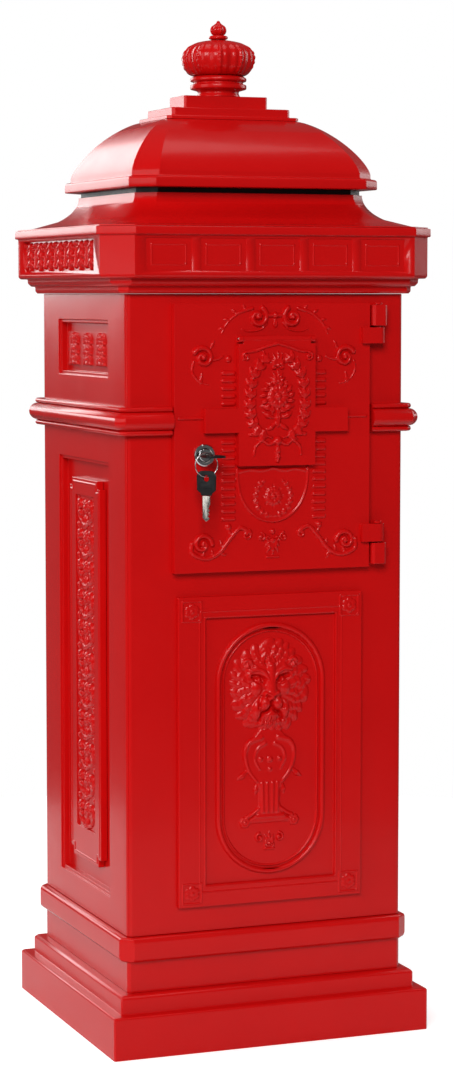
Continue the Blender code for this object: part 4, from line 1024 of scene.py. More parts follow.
def sink(piece, along, half, side):
    """Cuts one field of the frieze into a piece."""
    outward, face = wall_frame(side)
    depth = FRIEZE_DEPTH["side" if side in ("left", "right") else "front"]
    place = facing(outward, face)
    ends = [
        place @ Vector((along - half, FRIEZE_LOW, -depth)),
        place @ Vector((along + half, FRIEZE_HIGH, 0.01)),
    ]
    low = [min(pair) for pair in zip(*ends)]
    high = [max(pair) for pair in zip(*ends)]
    cut_away(piece, low, high)


class LETTERBOX_OT_cornice(bpy.types.Operator):
    """Make the stepped cornice"""

    bl_idname = "letterbox.cornice"
    bl_label = "Cornice"

    def execute(self, context):
        low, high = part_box("cornice")
        ledge = high.x - BODY_X
        shell = 0.0194
        base = low.z
        sections = [
            course(0.0056, base),
            course(0.0080, base + 0.0022),
            course(0.0080, base + 0.0071),
            course(0.0124, base + 0.0071),
            course(0.0162, base + 0.0106),
            course(0.0162, base + 0.0147),
            course(0.0240, base + 0.0147),
            course(FRIEZE_PROUD, base + 0.0170),
            course(FRIEZE_PROUD, high.z - 0.0082),
            course(ledge, high.z - 0.0082),
            course(ledge, high.z),
            course(shell, high.z, 0.018),
            course(shell, base + 0.0217, 0.018),
            course(-0.007, base + 0.0217, MIN_CORNER),
            course(-0.007, base, MIN_CORNER),
        ]
        cornice = moulded("cornice_visual", softened(sections, 0.0013, 3), ring=True)
        for along, half, side in frieze_fields():
            sink(cornice, along, half, side)
        painted(cornice, "cabinet", "cornice")
        return {"FINISHED"}


def between(first, second, share):
    return tuple(a + (b - a) * share for a, b in zip(first, second))


class LETTERBOX_OT_roof(bpy.types.Operator):
    """Make the cove, the seat, the domed lid and the plinth on it"""

    bl_idname = "letterbox.roof"
    bl_label = "Roof"

    def execute(self, context):
        self.cove()
        self.lid()
        self.plinth()
        # The seat wears the keys' black grip finish as painted shade, so that the gap under the lid
        # reads as a shadow.
        keep(["lid_seat"], black_grip_and_seat_shade(), 0.0003)
        return {"FINISHED"}

    def cove(self):
        low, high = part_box("roof_cove")
        foot = (high.x, high.y, high.x - BODY_X)
        rise = high.z - low.z
        sections = [(*foot, low.z)]
        for i in range(29):
            share = (i / 28) ** 1.6
            swept = math.sqrt(1 - (1 - share) ** 2)
            sections.append((*between(foot, NECK, swept), low.z + rise * (0.03 + 0.97 * share)))
        lip = (NECK[0] - SEAT_REACH, NECK[1] - SEAT_REACH, NECK[2])
        sections += [
            (*lip, high.z),
            (*lip, high.z - 0.004),
            (0.1150, 0.0985, NECK[2], high.z - 0.004),
            (0.1260, 0.1105, 0.019, low.z + 0.4 * rise),
            (foot[0] - 0.006, foot[1] - 0.006, foot[2], low.z),
        ]
        cove = moulded("roof_cove_visual", sections, ring=True, angle=38)
        painted(cove, "cabinet", "roof_cove")

    def lid(self):
        low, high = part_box("roof_dome")
        rim = (high.x, high.y, LID_CUT)
        foot = (high.x - 0.0050, high.y - 0.0050, LID_CUT)
        inner_rim = (high.x - LID_FLANGE, high.y - LID_FLANGE, LID_CUT)
        step, dome = low.z + 0.0103, low.z + 0.0150
        sections = [
            (*inner_rim, low.z + LID_WALL),
            (*inner_rim, low.z),
            (*rim, low.z),
            (*rim, step - 0.0016),
            (rim[0] - 0.0016, rim[1] - 0.0016, rim[2], step),
            (*foot, step + 0.0004),
            (*foot, dome),
        ]
        sections = softened(sections, 0.0014, 3)
        rises = [math.sin(math.pi / 2 * (i / 34) ** 1.15) for i in range(1, 35)]
        for rise in rises:
            height = dome + (high.z - dome) * rise
            sections.append((*between(LID_TOP, foot, self.reach(rise)), height))
        inner_foot = (foot[0] - LID_WALL, foot[1] - LID_WALL, foot[2])
        inner_top = (LID_TOP[0] - LID_WALL, LID_TOP[1] - LID_WALL, LID_TOP[2])
        sections.append((0.004, 0.004, 0.001, high.z))
        sections.append((0.004, 0.004, 0.001, high.z - LID_WALL))
        for i in range(16, -1, -1):
            rise = math.sin(math.pi / 2 * i / 16)
            height = dome + (high.z - LID_WALL - dome) * rise
            sections.append((*between(inner_top, inner_foot, self.reach(rise)), height))
        sections.append((*inner_foot, low.z + LID_WALL))
        lid = moulded("roof_dome_visual", sections, ring=True, angle=22)
        painted(lid, "cabinet", "roof_dome")

    def reach(self, rise):
        """How far out the dome stands at a share of its rise: 1 at its foot, 0 at its top."""
        return max(1 - rise**LID_FULLNESS, 0.0) ** (1 / LID_FULLNESS)

    def plinth(self):
        low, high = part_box("roof_plinth")
        slab, block = low.z + 0.0032, low.z + 0.0117
        sections = [
            (*LID_TOP[:2], 0.004, low.z),
            (*LID_TOP[:2], 0.004, slab),
            (0.0637, 0.0385, 0.003, slab),
            (0.0637, 0.0385, 0.003, block),
            (0.0451, 0.0227, 0.002, block),
            (0.0451, 0.0227, 0.002, high.z),
        ]
        plinth = moulded("roof_plinth_visual", softened(sections, 0.0014, 4), ring=False)
        painted(plinth, "cabinet", "roof_plinth")


class LETTERBOX_OT_crown(bpy.types.Operator):
    """Make the turned pedestal, the beaded crown and its bud"""

    bl_idname = "letterbox.crown"
    bl_label = "Crown"

    def execute(self, context):
        self.pedestal()
        self.cushion()
        self.bud()
        return {"FINISHED"}

    def pedestal(self):
        low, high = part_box("crown_pedestal")
        ring, waist, z = 0.0287, 0.0205, high.z
        profile = [
            (0.0030, z),
            (ring - 0.004, z),
            (ring, z - 0.0022),
            (ring, z - 0.0052),
            (ring - 0.0035, z - 0.0063),
            (ring - 0.0035, z - 0.0080),
            (ring, z - 0.0090),
            (ring, z - 0.0132),
            (waist + 0.0010, z - 0.0152),
            (waist, z - 0.0172),
            (waist + 0.0020, low.z),
            (0.0030, low.z),
        ]
        piece = turned("crown_pedestal_visual", smooth_profile(profile))
        painted(piece, "cabinet", "crown_pedestal")

    def cushion(self):
        low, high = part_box("crown_cushion")
        ribs, widest = sizes().crown_ribs, 0.0385
        middle = low.z + 0.5 * (high.z - low.z)
        foot = 0.0267
        profile = [(0.0030, high.z - 0.0002), (0.0075, high.z - 0.0002)]
        for degrees in range(76, 0, -4):
            a = math.radians(degrees)
            profile.append(
                (widest * math.cos(a) ** 0.8, middle + (high.z - middle) * math.sin(a))
            )
        for degrees in range(0, 91, 5):
            a = math.radians(degrees)
            radius = foot + (widest - foot) * math.cos(a)
            profile.append((radius, middle - (middle - low.z) * math.sin(a)))
        profile.append((0.0030, low.z))
        rise = high.z - low.z

        def beaded(a, radius, z):
            if radius < 0.008:
                return 0.0
            share = min(max((z - low.z) / rise, 0), 1)
            turn = a * ribs / (2 * math.pi)
            across = abs(turn - round(turn)) * 2
            band = math.exp(-((across / 0.20) ** 2))
            bead = 0.45 + 0.55 * abs(math.sin(share * math.pi * 7))
            fold = 0.5 + 0.5 * math.cos(2 * math.pi * (turn - 0.5) * 2)
            full = math.sin(math.pi * min(max(share * 1.04, 0.02), 0.98)) ** 0.5
            return full * (0.0006 + 0.0022 * band * bead - 0.0016 * (1 - band) * fold) - 0.0020

        piece = turned("crown_cushion_visual", profile, 280, beaded, 70)
        painted(piece, "cabinet", "crown_cushion")

    def bud(self):
        low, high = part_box("crown_bud")
        profile = [(0.0, high.z)]
        for r, drop in ((0.0010, 0.0003), (0.0018, 0.0012), (0.0024, 0.0026), (0.0042, 0.0040)):
            profile.append((r, high.z - drop))
        for degrees in range(60, -61, -10):
            a = math.radians(degrees)
            profile.append((0.0086 * math.cos(a) ** 0.8, high.z - 0.0098 + 0.0060 * math.sin(a)))
        profile += [(0.0052, high.z - 0.0152), (0.0062, low.z + 0.0044)]
        for degrees in range(70, -71, -20):
            a = math.radians(degrees)
            profile.append((0.0070 + 0.0028 * math.cos(a), low.z + 0.0022 + 0.0020 * math.sin(a)))
        profile += [(0.0070, low.z), (0.0, low.z)]
        ribs = 8

        def lobed(a, radius, z):
            if radius < 0.004 or z < low.z + 0.0045:
                return 0.0
            return 0.0005 * math.cos(ribs * a) - 0.0003

        piece = turned("crown_bud_visual", profile, 96, lobed, 60)
        painted(piece, "cabinet", "crown_bud")


# ------------------------------------------------------------------ door and flap


def frame_depth(u_low, v_low, u_high, v_high, width):
    """Signed depth inside a rectangular frame of a width."""

    def inside(u, v):
        outer = np.minimum.reduce([u - u_low, u_high - u, v - v_low, v_high - v])
        return np.minimum(outer, width - outer)

    return inside


class LETTERBOX_OT_door(bpy.types.Operator):
    """Dress the door plate and raise its ornament"""

    bl_idname = "letterbox.door"
    bl_label = "Door"

    def execute(self, context):
        keep(["door_plate"], red_enamel(), 0.0009, 3)
        board = Board(DOOR_LOW.x + 0.001, 0.1055, DOOR_LOW.z + 0.001, DOOR_HIGH.z - 0.001)
        self.head(board)
        self.ladders(board)
        self.scrolls(board)
        self.shield(board)
        board.soften()
        piece = emboss("door_relief", board, facing((0, -1), -DOOR_FACE))
        painted(piece, "door")
        return {"FINISHED"}

    def head(self, board):
        """Two volutes joined by a bar, with arms sweeping out to the upper scrolls."""
        mid = FLAP_X
        for side in (-1, 1):
            at = (mid + side * 0.0183, 0.7245)
            volute(board, at, 0.0098, 90 + side * 30, side * 1.2, 0.0030, 0.0034)
            arm = smooth_around(
                (mid, 0),
                side,
                (0.0240, 0.7330), (0.0380, 0.7285), (0.0500, 0.7190), (0.0560, 0.7085),
            )
            board.stroke(arm, 0.0020, 0.0020, 0.0011, 0.0010)
            line = smooth_around(
                (mid, 0),
                side,
                (0.0085, 0.7180), (0.0160, 0.7120), (0.0280, 0.7105), (0.0350, 0.7130),
            )
            board.stroke(line, 0.0012, 0.0016, 0.0008, 0.0008)
            for step in range(4):
                base = arm[4 + 5 * step]
                leaf(board, base, 90 - side * (20 + 28 * step), 0.0085, 0.0016, 0.0017, side * -30)
        board.stroke([(mid - 0.0080, 0.7262), (mid + 0.0080, 0.7262)], 0.0024, 0.0030)
        board.boss((mid, 0.7262), 0.0033, 0.0038)
        leaf(board, (mid, 0.7225), -90, 0.0095, 0.0030, 0.0026)

    def ladders(self, board):
        """Short bars one above another either side of the flap."""
        for centre in (FLAP_X - 0.0492, FLAP_X + 0.0470):
            z = 0.5275
            while z < 0.676:
                shadow = FLAP_LOW.z + 0.0310 < z < FLAP_LOW.z + 0.0585
                if not shadow:
                    board.stroke([(centre - 0.0055, z), (centre + 0.0055, z)], 0.0024, 0.0021)
                z += 0.0075
            board.boss((centre, 0.6835), 0.0036, 0.0026)
            board.boss((centre, 0.5195), 0.0034, 0.0024)
        left_bar = (DOOR_LOW.x + 0.0040, FLAP_LOW.x - 0.0010)
        right_bar = (FLAP_HIGH.x + 0.0010, 0.1020)
        for u_low, u_high in (left_bar, right_bar):
            board.stroke([(u_low, 0.6262), (u_high, 0.6262)], 0.0017, 0.0019)

    def scrolls(self, board):
        """The four corner scrolls and the branches that leave them."""
        mid = FLAP_X - 0.0005
        for side in (-1, 1):
            upper = (mid + side * 0.0750, 0.6852)
            volute(board, upper, 0.0104, 90 - side * 60, side * 1.3, 0.0029, 0.0034)
            tail = smooth_around(
                upper,
                side,
                (0.0098, -0.0040), (0.0110, -0.0140), (0.0040, -0.0230), (-0.0060, -0.0265),
            )
            board.stroke(tail, 0.0014, 0.0016, 0.0008, 0.0008)
            rise = smooth_around(upper, side, (-0.0095, -0.0020), (-0.0150, -0.0015), (-0.0205, 0.0010))
            board.stroke(rise, 0.0020, 0.0022, 0.0012, 0.0012)
            over, under = around(upper, side, (-0.008, 0.0085), (0.001, -0.0150))
            leaf(board, over, 90 + side * 25, 0.0100, 0.0018, 0.0018)
            leaf(board, under, -90 + side * 10, 0.0120, 0.0020, 0.0016)

            lower = (mid + side * 0.0758, 0.5030)
            volute(board, lower, 0.0098, 90 + side * 90, -side * 1.25, 0.0028, 0.0034)
            sweep = smooth_around(
                lower,
                side,
                (0.0110, 0.0010), (0.0105, -0.0085), (-0.0030, -0.0140), (-0.0170, -0.0090),
                (-0.0290, 0.0050), (-0.0395, 0.0150), (-0.0500, 0.0100),
            )
            board.stroke(sweep, 0.0024, 0.0026, 0.0022, 0.0024)
            curl = (lower[0] - side * 0.0465, lower[1] + 0.0085)
            volute(board, curl, 0.0052, 60, side * 1.1, 0.0014, 0.0020)
            for k, turn in ((14, 70), (20, 95), (27, 120), (34, 140)):
                leaf(board, sweep[k], 90 - side * (turn - 90), 0.0090, 0.0017, 0.0017, side * 25)
            leaf(board, sweep[24], -60 - side * 40, 0.0100, 0.0018, 0.0017, side * -25)

    def shield(self, board):
        """A shield below the flap with a wreathed flower on it, and the drop under it."""
        mid = FLAP_X - 0.0025
        top, foot, half = 0.5765, 0.5235, 0.0375

        def inside(u, v):
            share = np.clip((v - foot) / (top - foot), 0, 1)
            edge = half * (1 - (1 - np.clip(share, 0, 1)) ** 2.6) ** 0.55
            return np.minimum.reduce([edge - np.abs(u - mid), top - v, (v - foot) * 0.6])

        board.plate(inside, 0.0012, 0.0012)
        outline = []
        for i in range(41):
            share = 1 - i / 40
            u = half * (1 - (1 - share) ** 2.6) ** 0.55
            outline.append((mid + u, foot + share * (top - foot)))
        board.stroke(outline, 0.0014, 0.0024)
        board.stroke(mirrored(outline, mid), 0.0014, 0.0024)
        for side in (-1, 1):
            swag = ((0.0, 0.5765), (0.012, 0.5740), (0.024, 0.5752), (0.036, 0.5730))
            board.stroke(smooth_around((mid, 0), side, *swag), 0.0013, 0.0024)
            wreath = arc((mid + 0.0005, 0.5480), 0.0185, -90, -90 + side * 150, 24)
            board.stroke(wreath, 0.0009, 0.0024)
            for k in range(2, 23, 3):
                a = math.degrees(math.atan2(wreath[k][1] - 0.548, wreath[k][0] - mid)) + side * 90
                leaf(board, wreath[k], a + 28, 0.0062, 0.0013, 0.0032, -15)
                leaf(board, wreath[k], a - 28, 0.0062, 0.0013, 0.0032, 15)
        flower(board, (mid + 0.0005, 0.5485), 0.0095, 8, 0.0042)
        for side in (-1, 1):
            volute(board, (mid + side * 0.0120, 0.5085), 0.0044, 90, side * 1.1, 0.0013, 0.0020)
        palmette(board, (mid, 0.5050), -90, 0.0165, 0.0028, 5, 60)
        board.boss((mid, 0.5135), 0.0030, 0.0026)
        board.stroke([(mid - 0.0065, 0.4885), (mid + 0.0065, 0.4885)], 0.0012, 0.0018)


class LETTERBOX_OT_flap(bpy.types.Operator):
    """Dress the letter flap and raise its ornament"""

    bl_idname = "letterbox.flap"
    bl_label = "Letter flap"

    def execute(self, context):
        keep(["slot_flap"], red_enamel(), 0.0007, 3)
        keep(["flap_pin"], bright_steel())
        board = Board(FLAP_LOW.x + 0.001, FLAP_HIGH.x - 0.001, FLAP_LOW.z + 0.001, FLAP_HIGH.z - 0.001)
        mid = FLAP_X
        for side in (-1, 1):
            eave = smooth_around(
                (mid, 0),
                side,
                (0.0008, 0.6985), (0.0120, 0.6955), (0.0240, 0.6915), (0.0330, 0.6905),
            )
            board.stroke(eave, 0.0016, 0.0020, 0.0013, 0.0014)
            volute(board, (mid + side * 0.0330, 0.6860), 0.0042, 90, -side * 1.2, 0.0013, 0.0020)
            spray = smooth_around(
                (mid, 0),
                side,
                (0.0060, 0.6065), (0.0200, 0.6120), (0.0275, 0.6280), (0.0285, 0.6480),
                (0.0250, 0.6680), (0.0140, 0.6830),
            )
            board.stroke(spray, 0.0011, 0.0018, 0.0008, 0.0014)
            for k in range(3, len(spray) - 1, 4):
                step = (spray[k + 1][0] - spray[k - 1][0], spray[k + 1][1] - spray[k - 1][1])
                a = math.degrees(math.atan2(step[1], step[0]))
                leaf(board, spray[k], a + 42, 0.0108, 0.0026, 0.0030, -20)
                leaf(board, spray[k], a - 42, 0.0108, 0.0026, 0.0030, 20)
                leaf(board, spray[k], a, 0.0100, 0.0024, 0.0034, 10)
            ribbon = smooth_around(
                (mid, 0),
                side,
                (0.0010, 0.6040), (0.0090, 0.6000), (0.0160, 0.6035), (0.0230, 0.5985),
                (0.0250, 0.5900),
            )
            board.stroke(ribbon, 0.0019, 0.0024, 0.0011, 0.0014)
            board.boss((mid + side * 0.0285, 0.6100), 0.0022, 0.0020)
        palmette(board, (mid, 0.6775), 90, 0.0140, 0.0030, 7, 80)
        palmette(board, (mid, 0.6615), 90, 0.0120, 0.0030, 7, 100)
        flower(board, (mid, 0.6470), 0.0118, 8, 0.0046)
        for turn in range(0, 360, 24):
            a = math.radians(turn)
            base = (mid + 0.010 * math.cos(a), 0.647 + 0.010 * math.sin(a))
            leaf(board, base, turn + 15, 0.0095, 0.0024, 0.0030, 30)
        for side in (-1, 1):
            bases = around((mid, 0), side, (0.004, 0.6320), (0.003, 0.6260), (0.002, 0.6210))
            upper, middle, lower = bases
            leaf(board, upper, 90 - side * 55, 0.0160, 0.0027, 0.0030, side * -30)
            leaf(board, middle, 90 - side * 80, 0.0150, 0.0026, 0.0028, side * 35)
            leaf(board, lower, -90 + side * 45, 0.0130, 0.0024, 0.0026, side * 25)
        leaf(board, (mid, 0.6180), 90, 0.0150, 0.0034, 0.0034)
        board.boss((mid, 0.6035), 0.0044, 0.0036)
        leaf(board, (mid, 0.5990), -90, 0.0100, 0.0030, 0.0030)
        board.boss((mid, 0.5880), 0.0030, 0.0036)
        board.boss((mid, 0.5838), 0.0018, 0.0026)
        board.soften()
        piece = emboss("flap_relief", board, facing((0, -1), -FLAP_FACE))
        painted(piece, "flap")
        return {"FINISHED"}


# ------------------------------------------------------------------ lower front panel


def mane(board, mid, z, size):
    """Locks in overlapping rows that flow out from the face and curl at their tips."""
    place, grid_u, grid_v = board.window([(mid, z)], 1.25 * size)
    u, v = grid_u - mid, (grid_v - z) / 1.10
    away = np.hypot(u, v) / size
    angle = np.arctan2(v, u)
    rows = (
        (1.10, 23, 0.0026, 1.3, 0.0),
        (0.99, 21, 0.0036, -1.1, 0.4),
        (0.88, 19, 0.0046, 1.2, 0.1),
        (0.76, 17, 0.0055, -1.0, 0.7),
    )
    for reach, count, height, curl, shift in rows:
        wave = 0.30 * np.sin(3 * angle + 9 * reach) + 0.16 * np.sin(7 * angle + 4 * reach)
        turn = angle * count / (2 * math.pi) + shift + wave + curl * away
        across = np.abs(turn - np.floor(turn) - 0.5) * 2
        tip = reach * (0.91 + 0.09 * (1 - across**2)) * (1 + 0.03 * np.sin(5 * angle + reach))
        round_off = np.sqrt(np.clip(1 - across**2, 0, 1))
        strand = 0.86 + 0.14 * np.cos(across * 9)
        fade = np.clip((tip - away) / 0.12, 0, 1) ** 0.6
        lock = height * (0.62 + 0.38 * round_off * strand) * fade
        board.raise_to(place, np.where(away < tip, lock, -0.0005))


def lion_head(board, mid, z, size):
    """A lion's mask with a full mane: brows, deep eyes, broad muzzle, nose, jowls and chin."""
    mane(board, mid, z, size)
    r = size

    def oval(u0, v0, ru, rv, height, power=0.5):
        centre = (mid + u0 * r, z + v0 * r)
        place, grid_u, grid_v = board.window([centre], max(ru, rv) * r)
        away = ((grid_u - centre[0]) / (ru * r)) ** 2 + ((grid_v - centre[1]) / (rv * r)) ** 2
        shape = height * np.clip(1 - away, 0, 1) ** power
        board.raise_to(place, np.where(away < 1, shape, -0.0005))

    def line(*points, side=1):
        return flow(*[(mid + side * u * r, z + v * r) for u, v in points])

    oval(0, 0.18, 0.56, 0.54, 0.0066, 0.30)
    oval(0, -0.34, 0.42, 0.48, 0.0070, 0.35)
    oval(0, -0.70, 0.25, 0.22, 0.0080)
    for side in (-1, 1):
        oval(side * 0.60, 0.60, 0.15, 0.15, 0.0072)
        ear = line((0.55, 0.56), (0.61, 0.63), (0.67, 0.57), side=side)
        board.carve(ear, 0.06 * r, 0.0028)
        oval(side * 0.37, -0.02, 0.20, 0.26, 0.0076)
        oval(side * 0.17, -0.40, 0.20, 0.24, 0.0104, 0.6)
        oval(side * 0.37, -0.56, 0.15, 0.30, 0.0076)
        brow = line((0.07, 0.14), (0.16, 0.34), (0.34, 0.44), (0.54, 0.42), side=side)
        board.stroke(brow, 0.11 * r, 0.0094, 0.06 * r, 0.0068)
        upper_lid = line((0.15, 0.14), (0.30, 0.24), (0.46, 0.27), side=side)
        board.carve(upper_lid, 0.075 * r, 0.0052)
        oval(side * 0.31, 0.20, 0.060, 0.045, 0.0058)
        lower_lid = line((0.14, 0.10), (0.28, 0.09), (0.44, 0.18), side=side)
        board.carve(lower_lid, 0.035 * r, 0.0020)
        mouth = line((0, -0.46), (0.10, -0.60), (0.24, -0.66), (0.30, -0.82), side=side)
        board.carve(mouth, 0.040 * r, 0.0040)
        cheek = line((0.15, -0.10), (0.27, -0.28), (0.33, -0.52), side=side)
        board.carve(cheek, 0.035 * r, 0.0024)
        forehead = line((0.06, 0.44), (0.14, 0.62), (0.10, 0.76), side=side)
        board.carve(forehead, 0.035 * r, 0.0018)
        for k in range(3):
            u, v = 0.14 + 0.06 * k, -0.38 - 0.06 * k
            board.carve(line((u, v), (u + 0.02, v - 0.01), side=side), 0.016 * r, 0.0014)
    board.stroke(line((0, 0.50), (0, 0.12), (0, -0.14)), 0.15 * r, 0.0082, 0.20 * r, 0.0106)
    board.stroke(line((-0.15, -0.17), (0, -0.20), (0.15, -0.17)), 0.10 * r, 0.0118)
    oval(0, -0.25, 0.13, 0.12, 0.0120)
    board.carve(line((0, -0.31), (0, -0.50)), 0.030 * r, 0.0040)
    for side in (-1, 1):
        nostril = line((0.07, -0.25), (0.16, -0.19), side=side)
        board.carve(nostril, 0.032 * r, 0.0034)
    for k in range(-2, 3):
        base = (mid + 0.07 * k * r, z - 0.74 * r)
        leaf(board, base, -90 + 12 * k, 0.34 * r, 0.06 * r, 0.0058, 10 * k)


class LETTERBOX_OT_front_panel(bpy.types.Operator):
    """Dress the lower front panel and raise its frame, ring and lion"""

    bl_idname = "letterbox.front_panel"
    bl_label = "Lower front panel"

    def execute(self, context):
        keep(["front_ornament_panel"], red_enamel(), 0.0009, 3)
        self.frame_relief()
        self.field_relief()
        return {"FINISHED"}

    def frame_relief(self):
        low, high = PANEL_LOW, PANEL_HIGH
        board = Board(low.x + 0.0006, high.x - 0.0006, low.z + 0.0006, high.z - 0.0006)
        square = 0.0220
        half = square / 2
        for v in (low.z + half + 0.003, high.z - half - 0.003):
            for u in (low.x + half + 0.003, high.x - half - 0.003):
                board.plate(frame_depth(u - half, v - half, u + half, v + half, 0.0022), 0.0011)
                flower(board, (u, v), 0.0082, 6, 0.0019, 30)
        edge = 0.0075
        for inset in (0.0215, 0.0270):
            foot, head = low.z + inset - edge, high.z - inset + edge
            line = frame_depth(low.x + inset, foot, high.x - inset, head, 0.0015)
            board.plate(line, 0.0008, 0.0007)
        board.soften()
        piece = emboss("panel_frame_relief", board, facing((0, -1), -low.y))
        painted(piece, "cabinet")

    def field_relief(self):
        field = PANEL_LOW.y + OVAL_DEPTH
        mid = PANEL_X
        board = Board(mid - 0.066, mid + 0.066, PANEL_LOW.z + 0.022, PANEL_HIGH.z - 0.022)
        low, high = PANEL_LOW.z + OVAL_MARGIN, PANEL_HIGH.z - OVAL_MARGIN
        for inset, width, height in ((0.0024, 0.0028, 0.0040), (0.0080, 0.0012, 0.0018)):
            ring = arc((mid, high - OVAL_HALF), OVAL_HALF - inset, 0, 180, 40)
            ring += arc((mid, low + OVAL_HALF), OVAL_HALF - inset, 180, 360, 40)
            ring.append(ring[0])
            board.stroke(ring, width, height)
        lion_head(board, mid - 0.0010, LION_HEIGHT, LION_SIZE)
        self.bust(board, mid - 0.0010)
        board.soften()
        piece = emboss("lion_relief", board, facing((0, -1), -field))
        painted(piece, "cabinet")

    def bust(self, board, mid):
        """The stand under the mask: a swelling bracket that narrows to a fluted stem on a foot."""
        foot = ((0.2215, 0.0230), (0.2250, 0.0240), (0.2300, 0.0150))
        stem = ((0.2420, 0.0118), (0.2560, 0.0124), (0.2650, 0.0170), (0.2780, 0.0236))
        shoulders = ((0.2900, 0.0262), (0.3000, 0.0268), (0.3080, 0.0190), (0.3160, 0.0110))
        heights, halves = zip(*foot, *stem, *shoulders)

        def inside(u, v):
            half = np.interp(v, heights, halves, left=-1, right=-1)
            ends = np.minimum(v - heights[0], heights[-1] + 0.004 - v)
            return np.minimum(half - np.abs(u - mid), ends)

        board.plate(inside, 0.0021, 0.0026)
        for side in (-1, 1):
            shoulder = smooth_around(
                (mid, 0),
                side,
                (0.0090, 0.3080), (0.0215, 0.3035), (0.0262, 0.2920), (0.0225, 0.2760),
                (0.0140, 0.2640),
            )
            board.stroke(shoulder, 0.0030, 0.0036, 0.0020, 0.0030)
            inner = smooth_around(
                (mid, 0),
                side,
                (0.0050, 0.3020), (0.0130, 0.2970), (0.0160, 0.2870), (0.0110, 0.2760),
            )
            board.stroke(inner, 0.0022, 0.0034, 0.0014, 0.0028)
            board.boss((mid + side * 0.0100, 0.2865), 0.0028, 0.0040)
            outer, lower = around((mid, 0), side, (0.0240, 0.2760), (0.0130, 0.2620))
            leaf(board, outer, -90 + side * 35, 0.0150, 0.0030, 0.0030, side * 35)
            leaf(board, lower, -90 + side * 20, 0.0130, 0.0026, 0.0030, side * -25)
            for u in (0.0030, 0.0082):
                flute = [(mid + side * u, 0.2620), (mid + side * u * 0.92, 0.2330)]
                board.stroke(flute, 0.0022, 0.0034)
            flower(board, (mid + side * 0.0262, 0.2235), 0.0062, 6, 0.0032)
            toe = smooth_around((mid, 0), side, (0.0120, 0.2360), (0.0190, 0.2310), (0.0240, 0.2290))
            board.stroke(toe, 0.0020, 0.0028)
            volute(board, (mid + side * 0.0105, 0.2070), 0.0046, 90, -side * 1.1, 0.0015, 0.0024)
        board.boss((mid, 0.2860), 0.0034, 0.0046)
        board.boss((mid, 0.2760), 0.0026, 0.0038)
        board.stroke([(mid - 0.0150, 0.2285), (mid + 0.0150, 0.2285)], 0.0020, 0.0034)
        palmette(board, (mid, 0.2010), 90, 0.0130, 0.0026, 5, 60)
        board.stroke([(mid - 0.0050, 0.1955), (mid + 0.0050, 0.1955)], 0.0014, 0.0018)


# ------------------------------------------------------------------ side panels


SIDES = (("left", (-1, 0)), ("right", (1, 0)))


